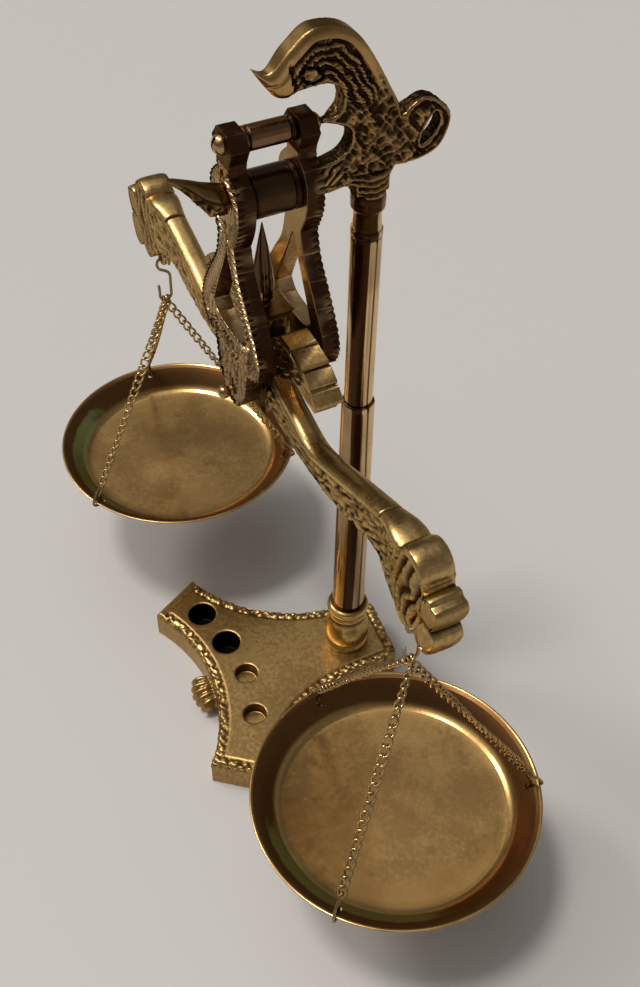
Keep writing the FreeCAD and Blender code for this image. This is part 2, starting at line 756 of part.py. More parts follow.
NODES = ["base_plate", "foot_stud", "column_foot", "lower_column", "column_stud", "upper_column",
         "column_neck", "head_stud", "head_bracket", "arm_stud", "arm_finial", "yoke_front_plate",
         "yoke_back_plate", "arm_sleeve", "yoke_spacer", "yoke_screws", "pivot_pin", "pivot_nuts", "beam",
         "pointer"]
for hand in ("left", "right"):
    NODES += [hand + "_hook", hand + "_pan"]
    NODES += ["%s_rim_ring_%d" % (hand, index) for index in (1, 2, 3)]
    NODES += ["%s_chain_%d" % (hand, index) for index in (1, 2, 3)]


def build():
    fill_sheet()
    base_plate()
    studs()
    column_foot()
    lower_column()
    upper_column()
    column_neck()
    head_bracket()
    arm_stud()
    arm_finial()
    yoke_plate("yoke_front_plate", -1)
    yoke_plate("yoke_back_plate", 1)
    yoke_tubes()
    yoke_screws()
    pivot_pin()
    pivot_nuts()
    beam()
    pointer()
    hanging_side("left", -1, size("left_chain_turn"))
    hanging_side("right", 1, size("right_chain_turn"))
    doc.recompute()


def check_document():
    """Stop if any object failed to build or any sub-part is not a valid solid."""
    for item in doc.Objects:
        if "Invalid" in item.State or "Error" in item.State:
            raise RuntimeError("%s failed: %s" % (item.Name, item.State))
    for name in NODES:
        shape = doc.getObjectsByLabel(name)[0].Shape
        if shape.isNull() or not shape.isValid() or not shape.Solids:
            raise RuntimeError(name + " is not a valid solid")


def write_parts():
    os.makedirs(PARTS_FOLDER, exist_ok=True)
    for name in NODES:
        doc.getObjectsByLabel(name)[0].Shape.exportStep("%s/%s.step" % (PARTS_FOLDER, name))


build()
check_document()
write_parts()
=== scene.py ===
import json
from math import atan2, copysign, cos, pi, radians, sin, sqrt, tau

import bpy
import numpy as np
from mathutils import Matrix, Vector
from mathutils.geometry import tessellate_polygon


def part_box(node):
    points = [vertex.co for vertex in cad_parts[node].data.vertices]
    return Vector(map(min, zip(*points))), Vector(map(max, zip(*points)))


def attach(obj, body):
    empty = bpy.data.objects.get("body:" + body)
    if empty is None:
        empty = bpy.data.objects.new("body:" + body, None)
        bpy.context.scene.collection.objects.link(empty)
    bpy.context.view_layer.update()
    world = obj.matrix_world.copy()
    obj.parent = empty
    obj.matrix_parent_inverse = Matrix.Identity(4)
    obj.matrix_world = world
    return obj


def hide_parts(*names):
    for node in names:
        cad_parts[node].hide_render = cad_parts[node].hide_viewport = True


# The looks of the brass balance.  Shapes are worked out in millimetres and turned to metres at the end.

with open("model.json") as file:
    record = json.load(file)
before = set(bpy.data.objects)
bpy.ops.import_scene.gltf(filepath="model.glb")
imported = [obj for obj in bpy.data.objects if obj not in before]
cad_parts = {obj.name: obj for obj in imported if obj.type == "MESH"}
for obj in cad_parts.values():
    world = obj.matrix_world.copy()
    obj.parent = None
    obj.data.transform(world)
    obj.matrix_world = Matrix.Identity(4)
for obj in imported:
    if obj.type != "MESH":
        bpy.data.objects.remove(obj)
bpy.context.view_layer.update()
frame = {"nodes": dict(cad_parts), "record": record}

MM = 0.001
FINE = 0.27  # how fine the skins of the castings are
HANDS = (("left", -1), ("right", 1))


def low_high(node):
    """A CAD node's lowest and highest corners in millimetres."""
    low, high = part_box(node)
    return np.array(low) / MM, np.array(high) / MM


def middle(node):
    low, high = low_high(node)
    return (low + high) / 2


YOKE_Y = middle("beam")[1]
ARM_Z = middle("arm_sleeve")[2]
PIVOT_Z = middle("pivot_pin")[2]
SPACER_Z = middle("yoke_spacer")[2]
EYE_X = middle("right_hook")[0]
HOOK_LOW, HOOK_HIGH = (corner[2] for corner in low_high("right_hook"))
HANG_Z = HOOK_LOW + 1.15
RIM_Z = middle("right_rim_ring_1")[2] - 0.25
BASE_TOP = low_high("column_foot")[0][2]
PAN_LOW = low_high("right_pan")[0][2]


# ---------------------------------------------------------------- number helpers

HASH = np.array([73856093, 19349663, 83492791])
HASH_AGAIN = 1274126177
HALF_HASH = 0x3FFFFFFF


def rise(value, start, end):
    """0 before start, 1 past end and a smooth rise between; start may be the higher of the two."""
    part = np.clip((value - start) / (end - start), 0, 1)
    return part * part * (3 - 2 * part)


def bell(value, width):
    """1 at zero, and down to almost nothing two widths away."""
    return np.exp(-(value / width) ** 2)


def wave(value, length):
    """A smooth wave from 0 to 1."""
    return 0.5 + 0.5 * np.cos(tau * value / length)


def folds(value, length):
    """Rounded ridges from 0 to 1 with sharp valleys between them."""
    return np.abs(np.cos(pi * value / length))


def blend(first, second, part):
    return first * (1 - part) + second * part


def unit(vector):
    return vector / np.linalg.norm(vector)


def around(steps):
    """Angles in even steps round a full turn."""
    return [tau * step / steps for step in range(steps)]


def off_angle(turn, middle_turn):
    """How far angles in degrees are from one of them, the short way round."""
    return np.abs((turn - middle_turn + 180) % 360 - 180)


def noise(points, lump, seed=0):
    """Smooth noise from -1 to 1 whose lumps are about that many millimetres across."""
    cell = points / lump + 11.7 * seed
    corner = np.floor(cell).astype(np.int64)
    part = rise(cell - corner, 0, 1)
    total = np.zeros(len(points))
    for index in range(8):
        step = np.array([index & 1, index >> 1 & 1, index >> 2 & 1])
        mixed = np.bitwise_xor.reduce((corner + step) * HASH, axis=1)
        mixed = (mixed ^ (mixed >> 13)) * HASH_AGAIN & 2 * HALF_HASH + 1
        total += np.prod(np.where(step, part, 1 - part), axis=1) * (mixed / HALF_HASH - 1)
    return total


def layered(points, lump, seed=0):
    return 0.65 * noise(points, lump, seed) + 0.35 * noise(points, lump * 0.45, seed + 3)


def ridged(points, lump, seed=0):
    """Noise with sharp crests and wide hollows, 0 to 1."""
    first = 1 - np.abs(noise(points, lump, seed)) * 1.7
    second = 1 - np.abs(noise(points, lump * 0.5, seed + 5)) * 1.7
    return np.clip(0.68 * first + 0.32 * second, 0, 1)


def flowing(points, angle, stretch=1):
    """The points in axes turned by an angle, squeezed along the first, so that noise on them runs that way."""
    a, b, c = points.T
    return np.column_stack([(a * cos(angle) + b * sin(angle)) / stretch, b * cos(angle) - a * sin(angle), c])


def smooth_line(points, steps=8, closed=False):
    """A smooth curve through the points, as a list of close ones."""
    points = [np.array(point, float) for point in points]
    run = [points[-1], *points, *points[:2]] if closed else [points[0], *points, points[-1]]
    line = []
    for before, start, end, after in zip(run, run[1:], run[2:], run[3:]):
        for part in (step / steps for step in range(steps)):
            line.append(0.5 * (2 * start + (end - before) * part
                               + (2 * before - 5 * start + 4 * end - after) * part ** 2
                               + (3 * start - before - 3 * end + after) * part ** 3))
    return line if closed else line + [points[-1]]


def joined(*runs):
    """One outline from runs that follow each other, with no point twice."""
    line = []
    for point in (np.array(point, float) for run in runs for point in run):
        if not line or np.linalg.norm(point - line[-1]) > 0.02:
            line.append(point)
    if np.linalg.norm(line[0] - line[-1]) < 0.02:
        line.pop()
    return line


def mirrored(run):
    return [np.array([-point[0], point[1]]) for point in reversed(run)]


def nearest(points, line, closed=True):
    """How far each flat point is from a line, and how far along the line its nearest place is."""
    line = np.array(line)
    ends = np.roll(line, -1, axis=0) if closed else line[1:]
    starts = line if closed else line[:-1]
    sides = ends - starts
    lengths = np.linalg.norm(sides, axis=1)
    so_far = np.concatenate([[0], np.cumsum(lengths)[:-1]])
    distance, along = np.empty(len(points)), np.empty(len(points))
    at_once = 20000
    for first in range(0, len(points), at_once):
        block = slice(first, first + at_once)
        offset = points[block, None, :] - starts[None]
        part = np.clip((offset * sides[None]).sum(2) / np.maximum(lengths ** 2, 1e-9), 0, 1)
        gap = np.linalg.norm(offset - part[..., None] * sides[None], axis=2)
        best = gap.argmin(1)
        rows = np.arange(len(best))
        distance[block] = gap[rows, best]
        along[block] = so_far[best] + part[rows, best] * lengths[best]
    return distance, along


def in_loop(points, loop):
    """1 for each flat point inside a closed line, else 0."""
    a, b = points.T
    inside = np.zeros(len(points), bool)
    for start, end in zip(loop, np.roll(loop, -1, axis=0)):
        if start[1] == end[1]:
            continue
        between = (b > min(start[1], end[1])) & (b <= max(start[1], end[1]))
        crossing = start[0] + (b - start[1]) / (end[1] - start[1]) * (end[0] - start[0])
        inside ^= between & (a < crossing)
    return inside.astype(float)


def studs_along(along, across, pitch, rows, seed):
    """Round lumps in rows along an edge: height 0 to 1 from places in millimetres."""
    best = np.zeros(len(along))
    for row, level in enumerate(rows):
        cell = np.floor(along / pitch + 0.5 * row)
        for key in (cell - 1, cell, cell + 1):
            jitter = np.sin(key * 12.99 + row * 78.2 + seed) * 43758.5
            jitter = jitter - np.floor(jitter)
            place = (key + 0.5 - 0.5 * row) * pitch + (jitter - 0.5) * 0.35 * pitch
            reach = np.hypot(along - place, (across - level) * 1.05) / (pitch * (0.46 + 0.1 * jitter))
            best = np.maximum(best, np.sqrt(np.clip(1 - reach ** 2, 0, 1)) * (0.75 + 0.25 * jitter))
    return best


# ---------------------------------------------------------------- mesh helpers

def mesh_of(name, shape, scale=MM):
    """A mesh from a shape, which is a pair of points and faces."""
    points, faces = shape
    mesh = bpy.data.meshes.new(name)
    mesh.from_pydata((np.array(points, float) * scale).tolist(), [], [list(face) for face in faces])
    return mesh


def placed(name, data):
    """A new object in the scene."""
    item = bpy.data.objects.new(name, data)
    bpy.context.scene.collection.objects.link(item)
    return item


def worked(item, *modifiers):
    """The item's mesh as these modifiers, each a kind and its settings, leave it."""
    for kind, settings in modifiers:
        modifier = item.modifiers.new(kind, kind)
        for key, value in settings.items():
            setattr(modifier, key, value)
    bpy.context.view_layer.update()
    mesh = bpy.data.meshes.new_from_object(item.evaluated_get(bpy.context.evaluated_depsgraph_get()))
    item.modifiers.clear()
    return mesh


def paint(mesh, name, values):
    attribute = mesh.attributes.new(name, "FLOAT", "POINT")
    attribute.data.foreach_set("value", values.astype(np.float32))


def dress(mesh, name, body, slot, wear_and_shading=None, node=None, look=None):
    """Turn a mesh into a piece on a body; the wear and shading values are 0 in a hollow, 1 on a crest and below -1 in
    a deep hole, which is painted near black as painted shade.
    """
    if wear_and_shading is None:
        wear_and_shading = np.full(len(mesh.vertices), 0.5)
    paint(mesh, "wear_and_shading", np.where(wear_and_shading < -1, -2, np.clip(wear_and_shading, 0, 1)))
    item = placed(name, mesh)
    mesh.materials.append(MATERIALS[look or slot])
    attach(item, body)
    if node:
        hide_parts(node)
    return item


def new_piece(shape, name, *details, **more):
    """A piece from a shape in millimetres, with the details that dress takes."""
    mesh = mesh_of(name, shape)
    mesh.validate()
    mesh.update()
    mesh.shade_smooth()
    return dress(mesh, name, *details, **more)


def crease(item, angle):
    """Keep edges sharper than this angle, in degrees, crisp."""
    item.data.set_sharp_from_angle(angle=radians(angle))


def reworked(item, kind, **settings):
    """Give a piece the mesh that one modifier makes of it."""
    mesh = worked(item, (kind, settings))
    mesh.name = item.name
    item.data = mesh


def eased(item):
    """Round a hard-edged piece's edges."""
    reworked(item, "BEVEL", width=0.3 * MM, segments=3, limit_method="ANGLE", angle_limit=radians(25))
    crease(item, 50)


def cut_with(item, parts):
    """Take closed shapes, in millimetres, out of a piece."""
    cutter = placed("cutter", mesh_of("cutter", stacked(parts)))
    reworked(item, "BOOLEAN", operation="DIFFERENCE", solver="EXACT", object=cutter)
    bpy.data.objects.remove(cutter)


def skin_over(parts, voxel):
    """One even skin round closed shapes that overlap: its mesh, points and normals, in millimetres."""
    rough = placed("rough", mesh_of("rough", stacked(parts), 1))
    mesh = worked(rough, ("REMESH", {"mode": "VOXEL", "voxel_size": voxel}),
                  ("SMOOTH", {"factor": 0.5, "iterations": 1}))
    bpy.data.objects.remove(rough)
    mesh.shade_smooth()
    return mesh, read(mesh.vertices, "co"), read(mesh.vertex_normals, "vector")


def read(rows, key):
    values = np.empty(len(rows) * 3)
    rows.foreach_get(key, values)
    return values.reshape(-1, 3)


def cast_piece(mesh, points, name, *details, flip=False):
    """Finish a skin whose points have been worked, mirrored to the other hand if flip is set."""
    if flip:
        points = points * np.array([-1, 1, 1])
        mesh.flip_normals()
    mesh.name = name
    mesh.vertices.foreach_set("co", (points * MM).ravel())
    mesh.update()
    mesh.materials.clear()
    dress(mesh, name, *details)


def push(points, normals, amount):
    """Move points out along their normals."""
    points += normals * amount[:, None]


def stacked(parts):
    """Several shapes as one."""
    points, faces = [], []
    for part_points, part_faces in parts:
        start = len(points)
        points += [tuple(point) for point in part_points]
        faces += [tuple(index + start for index in face) for face in part_faces]
    return points, faces


def turned_over(faces):
    return [face[::-1] for face in faces]


def prism(loops, low, high, place):
    """A closed plate between two levels: its outline first, then any holes."""
    flat = [point for loop in loops for point in loop]
    triangles = tessellate_polygon([[Vector((a, b, 0)) for a, b in loop] for loop in loops])
    count = len(flat)
    points = [place(a, b, level) for level in (low, high) for a, b in flat]
    faces = [tuple(triangle) for triangle in triangles]
    faces += [tuple(index + count for index in reversed(triangle)) for triangle in triangles]
    start = 0
    for loop in loops:
        for index in range(len(loop)):
            following = start + (index + 1) % len(loop)
            faces.append((start + index, following, following + count, start + index + count))
        start += len(loop)
    return points, faces


def across_beam(x, z, y):
    return (x, YOKE_Y + y, z)


def across_arm(y, z, x):
    return (x, y, z)


def upward(x, y, z):
    return (x, y, z)


def rectangle(half, low, high):
    return [(-half, low), (half, low), (half, high), (-half, high)]


def tube_faces(rings, sides):
    """The faces between neighbouring rings of points."""
    return [(ring * sides + side, ring * sides + (side + 1) % sides, (ring + 1) * sides + (side + 1) % sides,
             (ring + 1) * sides + side) for ring in range(rings - 1) for side in range(sides)]


def end_faces(rings, sides):
    """The caps of a tube."""
    return [tuple(reversed(range(sides))), tuple((rings - 1) * sides + side for side in range(sides))]


def ball(centre, radii, turn, rings=16, sides=28):
    """A turned ellipsoid."""
    points = [np.array([sin(polar) * cos(angle), sin(polar) * sin(angle), cos(polar)]) * radii
              for polar in (pi * ring / rings for ring in range(1, rings)) for angle in around(sides)]
    points += [np.array([0, 0, radii[2]]), np.array([0, 0, -radii[2]])]
    top, last = len(points) - 2, (rings - 2) * sides
    faces = [(a, d, c, b) for a, b, c, d in tube_faces(rings - 1, sides)]
    for side in range(sides):
        following = (side + 1) % sides
        faces += [(top, side, following), (top + 1, last + following, last + side)]
    return [np.array(turn @ Vector(point)) + np.array(centre) for point in points], faces


def swept(path, radius, closed=False, sides=10):
    """A round wire along a path; an open one ends in small domes."""
    path = [np.array(point, float) for point in path]
    radii = [radius] * len(path)
    if not closed:
        first, last = path[0], path[-1]
        out_first, out_last = unit(path[0] - path[1]), unit(path[-1] - path[-2])
        path = ([first + out_first * radius * 0.95, first + out_first * radius * 0.7] + path
                + [last + out_last * radius * 0.7, last + out_last * radius * 0.95])
        radii = [radius * 0.3, radius * 0.72] + radii + [radius * 0.72, radius * 0.3]
    count = len(path)
    points = []
    side_way = None
    for index in range(count):
        if closed:
            tangent = unit(path[(index + 1) % count] - path[index - 1])
        else:
            tangent = unit(path[min(index + 1, count - 1)] - path[max(index - 1, 0)])
        if side_way is None:
            side_way = np.cross(tangent, np.array([0.31, 0.83, 0.46]))
        side_way = unit(side_way - tangent * side_way.dot(tangent))
        other_way = np.cross(tangent, side_way)
        points += [path[index] + radii[index] * (side_way * cos(angle) + other_way * sin(angle))
                   for angle in around(sides)]
    faces = tube_faces(count, sides)
    if not closed:
        return points, faces + end_faces(count, sides)
    # the last ring meets the first one turned by some steps
    first_way = (points[0] - path[0]) / radius
    shift = round(atan2(first_way.dot(other_way), first_way.dot(side_way)) / tau * sides) % sides
    here = (count - 1) * sides
    faces += [(here + side, here + (side + 1) % sides, (side + 1 - shift) % sides, (side - shift) % sides)
              for side in range(sides)]
    return points, faces


def turned(profile, centre, axis="z", sides=96, soften=0.18):
    """A lathe shape from (radius, height) corners, each corner eased by a small chamfer."""
    profile = [np.array(corner, float) for corner in profile]
    eased_line = [profile[0]]
    for before, here, after in zip(profile, profile[1:], profile[2:]):
        for way in (before - here, after - here):
            length = np.linalg.norm(way)
            eased_line.append(here + way / length * min(soften, 0.3 * length))
    points, faces, rows = [], [], []
    for radius, height in eased_line + [profile[-1]]:
        angles = around(sides) if radius >= 1e-6 else [0]
        rows.append(range(len(points), len(points) + len(angles)))
        for a, b in ((radius * cos(angle), radius * sin(angle)) for angle in angles):
            offset = (a, b, height) if axis == "z" else (b, height, a)
            points.append(tuple(start + move for start, move in zip(centre, offset)))
    for below, above in zip(rows, rows[1:]):
        for side in range(sides):
            following = (side + 1) % sides
            if len(below) == 1:
                faces.append((below[0], above[following], above[side]))
            elif len(above) == 1:
                faces.append((below[side], below[following], above[0]))
            else:
                faces.append((below[side], below[following], above[following], above[side]))
    return points, faces


# ---------------------------------------------------------------- materials

def new_node(tree, kind, inputs, **settings):
    """A shader node; each input is a value or the output that feeds it."""
    node = tree.nodes.new("ShaderNode" + kind)
    for key, value in settings.items():
        setattr(node, key, value)
    for key, source in inputs.items():
        if isinstance(source, bpy.types.NodeSocket):
            tree.links.new(source, node.inputs[key])
        else:
            node.inputs[key].default_value = source
    return node


def brass(name, bright, dark, rough, speckle=0.12, grain=0.15, spots=0.0, stretch=(1, 1, 1), bump=0.06,
          patina=0.5, streak=0.0, green=False, plain=0.0, tint=1.0):
    """Old brass: bright on crests, brown in hollows, clouded by patina, with fine grain and scratches, and painted
    near black as painted shade where the wear and shading values mark a deep hole.
    """
    material = bpy.data.materials.new(name)
    material.use_nodes = True
    tree = material.node_tree
    links = tree.links
    shader = tree.nodes["Principled BSDF"]
    shader.inputs["Metallic"].default_value = 1.0
    shader.inputs["Specular Tint"].default_value = (tint, tint * 0.9, tint * 0.8, 1)

    def cloud(scale, detail, source):
        return new_node(tree, "TexNoise", {"Scale": scale, "Detail": detail, "Vector": source}).outputs["Fac"]

    def sums(operation, first, second):
        return new_node(tree, "Math", {0: first, 1: second}, operation=operation).outputs[0]

    def about(source, size):
        """A swing of this size to both sides of zero."""
        return sums("MULTIPLY", sums("SUBTRACT", source, 0.5), size)

    def ranged(source, low, high, start, end):
        return new_node(tree, "MapRange", {"Value": source, "From Min": low, "From Max": high, "To Min": start,
                                           "To Max": end}, interpolation_type="SMOOTHSTEP").outputs["Result"]

    def mixed(factor, first, second):
        node = new_node(tree, "Mix", {"Factor": factor}, data_type="RGBA")
        sockets = [socket for socket in node.inputs if socket.type == "RGBA"]
        for socket, source in zip(sockets, (first, second)):
            if isinstance(source, tuple):
                socket.default_value = (*source, 1)
            else:
                links.new(source, socket)
        return [socket for socket in node.outputs if socket.type == "RGBA"][0]

    def painted(attribute):
        return new_node(tree, "Attribute", {}, attribute_name=attribute).outputs["Fac"]

    place = tree.nodes.new("ShaderNodeTexCoord").outputs["Object"]
    stretched = new_node(tree, "Mapping", {"Vector": place, "Scale": stretch}).outputs["Vector"]
    clouds, fine, drawn = cloud(55, 4, place), cloud(900, 3, place), cloud(420, 5, stretched)
    worn_and_shaded = sums("ADD", plain or painted("wear_and_shading"), about(clouds, patina))
    tone = tuple(0.6 * a + 0.4 * b for a, b in zip(bright, dark))
    metal = mixed(ranged(sums("ADD", clouds, about(fine, speckle)), 0.4, 0.65, 0, 1), bright, tone)
    colour = mixed(ranged(worn_and_shaded, 0.08, 0.62, 0, 1), dark, metal)
    if spots:
        colour = mixed(ranged(cloud(140, 6, place), 0.62, 0.74, 0, spots), colour, dark)
    if streak:
        colour = mixed(ranged(cloud(300, 2, stretched), 0.47, 0.56, 0, streak), colour, dark)
    if green:
        verdigris = ranged(sums("ADD", painted("verdigris"), about(drawn, 0.8)), 0.35, 0.9, 0, 0.85)
        colour = mixed(verdigris, colour, (0.30, 0.34, 0.12))
    # painted shade: values below -1 mark deep holes, which are painted near black
    colour = mixed(ranged(worn_and_shaded, -1.3, -0.9, 1, 0), colour, (0.010, 0.007, 0.005))
    links.new(colour, shader.inputs["Base Color"])
    roughness = sums("ADD", about(drawn, grain), about(clouds, grain))
    hollow = ranged(worn_and_shaded, 0.05, 0.5, 0.15, 0)
    links.new(sums("ADD", sums("ADD", roughness, rough), hollow), shader.inputs["Roughness"])
    height = sums("ADD", sums("MULTIPLY", drawn, 0.7), sums("MULTIPLY", fine, 0.5))
    relief = new_node(tree, "Bump", {"Strength": bump, "Distance": 0.0006, "Height": height})
    links.new(relief.outputs["Normal"], shader.inputs["Normal"])
    return material


# bright colour, dark colour, roughness and what differs from the usual
LOOKS = {
    "cast_base": ((0.44, 0.29, 0.11), (0.14, 0.075, 0.025), 0.36, dict(speckle=1.2, bump=0.09, patina=0.35)),
    "turned_column": ((0.74, 0.51, 0.27), (0.055, 0.024, 0.009), 0.13,
                      dict(grain=0.1, stretch=(1, 1, 0.03), patina=0.25, streak=0.5)),
    "hidden_stud": ((0.55, 0.54, 0.52), (0.3, 0.3, 0.3), 0.4, dict(plain=0.5)),
    "pin": ((0.50, 0.33, 0.15), (0.10, 0.055, 0.025), 0.2, dict(plain=0.5)),
    "column_foot": ((0.56, 0.37, 0.13), (0.10, 0.05, 0.018), 0.2, dict(speckle=0.6)),
    "dark_casting": ((0.47, 0.285, 0.11), (0.028, 0.015, 0.007), 0.25, dict(tint=0.6, bump=0.1)),
    "yoke_casting": ((0.60, 0.41, 0.21), (0.055, 0.024, 0.012), 0.24, dict(patina=0.4, tint=0.45, bump=0.1)),
    "yoke_tube": ((0.26, 0.14, 0.07), (0.045, 0.024, 0.013), 0.17, dict(grain=0.2, patina=0.6)),
    "bright_fastener": ((0.50, 0.33, 0.15), (0.10, 0.055, 0.025), 0.2, {}),
    "beam_casting": ((0.60, 0.395, 0.16), (0.045, 0.024, 0.010), 0.27, dict(tint=0.55, speckle=0.5, bump=0.12)),
    "pointer_brass": ((0.13, 0.08, 0.045), (0.02, 0.012, 0.007), 0.09, dict(stretch=(1, 1, 0.1))),
    "wire": ((0.46, 0.32, 0.16), (0.08, 0.05, 0.027), 0.22, dict(tint=0.6)),
    "spun_pan": ((0.58, 0.36, 0.135), (0.13, 0.062, 0.022), 0.23,
                 dict(speckle=0.3, grain=0.16, spots=0.3, stretch=(1, 0.5, 1), bump=0.04, green=True)),
    "chain_brass": ((0.66, 0.45, 0.20), (0.06, 0.034, 0.015), 0.2, dict(patina=0.8, tint=0.5)),
}
MATERIALS = {name: brass(name, *colours, **more) for name, (*colours, more) in LOOKS.items()}


# ---------------------------------------------------------------- base

BASE_TURN = radians(-6.07)
BASE_CORNERS = [(-29.8, -54.7), (29.8, -54.7), (39.8, -39.5), (13.3, -2.6), (12.2, 10.2), (9.4, 13.2)]
SHORT_EDGE = [(-29.8, -54.7), (-39.8, -39.5)]
FRONT_RADIUS, SIDE_RADIUS, TAIL_RADIUS = 52.5, 46, 4
BAND_WIDTH = 3.0
DEEP_HOLE, SHALLOW_HOLE = (4.4, 8), (3.45, 3.7)  # radius and depth
HOLES = {"one": DEEP_HOLE, "two": DEEP_HOLE, "three": SHALLOW_HOLE, "four": SHALLOW_HOLE}


def arc(start, end, radius, steps=24):
    """Points of an arc that bows to the left of start to end for a positive radius, else to the right."""
    chord = end - start
    half = np.linalg.norm(chord) / 2
    left = np.array([-chord[1], chord[0]]) / (2 * half)
    centre = (start + end) / 2 - left * copysign(1, radius) * sqrt(radius * radius - half * half)
    first, last = (atan2(*(place - centre)[::-1]) for place in (start, end))
    sweep = (last - first + pi) % tau - pi
    angles = [first + sweep * step / steps for step in range(steps + 1)]
    return [centre + abs(radius) * np.array([cos(angle), sin(angle)]) for angle in angles]


def turned_about_column(point):
    c, s = cos(BASE_TURN), sin(BASE_TURN)
    return np.array([point[0] * c - point[1] * s, point[0] * s + point[1] * c])


def circle(centre, radius, steps=36):
    return [np.array([centre[0] + radius * cos(angle), centre[1] + radius * sin(angle)]) for angle in around(steps)]


def base_outline():
    a, b, c, d, e, f = [np.array(corner, float) for corner in BASE_CORNERS]
    flip = np.array([-1, 1])
    line = joined(arc(a, b, FRONT_RADIUS), [b, c], arc(c, d, SIDE_RADIUS), [d, e], arc(e, f, -TAIL_RADIUS, 6),
                  [f, f * flip], arc(f * flip, e * flip, -TAIL_RADIUS, 6), [e * flip, d * flip],
                  arc(d * flip, c * flip, SIDE_RADIUS), [c * flip, a])
    return [turned_about_column(point) for point in line]


def shell_parts():
    """Five ribs side by side that stand out of the middle of the front edge."""
    parts = []
    for index in range(-2, 3):
        reach = 3.6 + 0.9 * cos(index * 0.7)
        x, y = turned_about_column((2.5 + index * 2.15, -44.9 - reach / 2 - 0.8))
        turn = Matrix.Rotation(BASE_TURN + index * 0.12, 3, "Z")
        parts.append(ball((x, y, 5.1), (1.3, reach, 3.6 - 0.25 * abs(index)), turn))
    return parts


def base_plate():
    outline = base_outline()
    mounts = {mount["name"]: mount["pos_m"] for mount in frame["record"]["mounts"]}
    holes = [(np.array(mounts["weight_hole_" + name][:2]) / MM, *sizes) for name, sizes in HOLES.items()]
    loops = [circle(centre, radius)[::-1] for centre, radius, depth in holes]
    deep_floor, shallow_floor = BASE_TOP - DEEP_HOLE[1], BASE_TOP - SHALLOW_HOLE[1]
    parts = [prism([outline], 0, deep_floor, upward),
             prism([outline, *loops[:2]], deep_floor - 0.01, shallow_floor, upward),
             prism([outline, *loops], shallow_floor - 0.01, BASE_TOP, upward)]
    mesh, points, normals = skin_over(parts + shell_parts(), FINE * 1.25)
    z, up = points[:, 2], normals[:, 2]
    gap, along = nearest(points[:, :2], outline)
    level = rise(up, 0.3, 0.8)
    top = level * rise(z, BASE_TOP - 1.5, BASE_TOP - 0.5)
    # the short edge at the left corner carries no beads, only a bevel
    plain = rise(nearest(flowing(points, BASE_TURN)[:, :2], SHORT_EDGE, closed=False)[0], 3.2, 2.6)
    band = rise(gap, BAND_WIDTH, BAND_WIDTH - 0.35) * top * (1 - plain)
    beads = studs_along(along, gap, 2.3, (0.75, 2.1), 3)
    beads = np.clip(beads + (0.45 * noise(points, 1.3, 2) + 0.3 * noise(points, 3.5, 8)), 0, 1)
    z += band * (beads - 0.7)
    groove = bell(gap - BAND_WIDTH - 0.1, 0.3) * top * (1 - plain)
    z -= 0.25 * groove
    side = 1 - np.abs(up)
    rim = rise(gap, 1.0, 0.4)
    rounded = rise(z, BASE_TOP - 1.8, BASE_TOP - 0.2) * side
    points[:, :2] -= normals[:, :2] * (0.7 * rounded ** 2 * rim)[:, None]
    z -= top * 0.8 * rise(gap, 1.0, 0.0)
    outward = rim * side * rise(z, BASE_TOP - 3.2, BASE_TOP - 1.2)
    push(points, normals, outward * (0.6 * beads - 0.3) * (1 - plain))
    push(points, normals, 0.022 * layered(points, 2.2, 5) * rise(z, 0.3, 1.0))
    wear_and_shading = 0.52 + band * (beads * 1.1 - 0.62) - 0.35 * groove + 0.1 * top * plain
    wear_and_shading += 0.2 * rim * side * rise(z, 2.5, 0.5)
    wear_and_shading -= 0.12 * rise(noise(points, 16, 6), 0.1, 0.6) * top
    gaps = [np.linalg.norm(points[:, :2] - centre, axis=1) - radius for centre, radius, depth in holes]
    for gone, (centre, radius, depth) in zip(gaps, holes):
        floor = BASE_TOP - depth
        inside = rise(gone, 0.35, 0.0) * rise(z, BASE_TOP - 0.2, BASE_TOP - 0.8)
        on_floor = rise(gone, 0.1, -0.3) * level * inside * rise(z, floor + 1, floor + 0.5)
        z += on_floor * (floor - z)
        # painted shade: deep holes are painted near black, since their floors lie out of the light; shallow holes get
        # darker walls and bright floors
        wear_and_shading = blend(wear_and_shading, -1.6 if depth == DEEP_HOLE[1] else 0.95 * on_floor - 0.1, inside)
    cast_piece(mesh, points, "base_plate_cast", "stand", "cast_base", wear_and_shading, "base_plate")


# ---------------------------------------------------------------- column

THIN_BANDS = ((12, 5), (75, 22), (128, 9), (176, 26), (-142, 14), (-96, 4))  # middle and half width, in degrees


def painted_reflection_bands(shape, dark_from, dark_to, seed):
    """Brightness round the column: one broad dark band at the front right, a painted reflection of the dark things in
    front of the column, and thin dark bands elsewhere.
    """
    x, y, z = np.array(shape[0]).T
    turn = np.degrees(np.arctan2(y, x)) + 3 * np.sin(z / 17 + seed)
    half = (dark_to - dark_from) / 2
    # painted reflection: the broad band darkens the side that faces the dark things in front of the column
    dark = 0.95 * rise(off_angle(turn, (dark_from + dark_to) / 2), half + 3, half - 3)
    for centre, width in THIN_BANDS:
        dark = np.maximum(dark, 0.6 * rise(off_angle(turn, centre), width + 3, width - 3))
    return 0.78 - dark


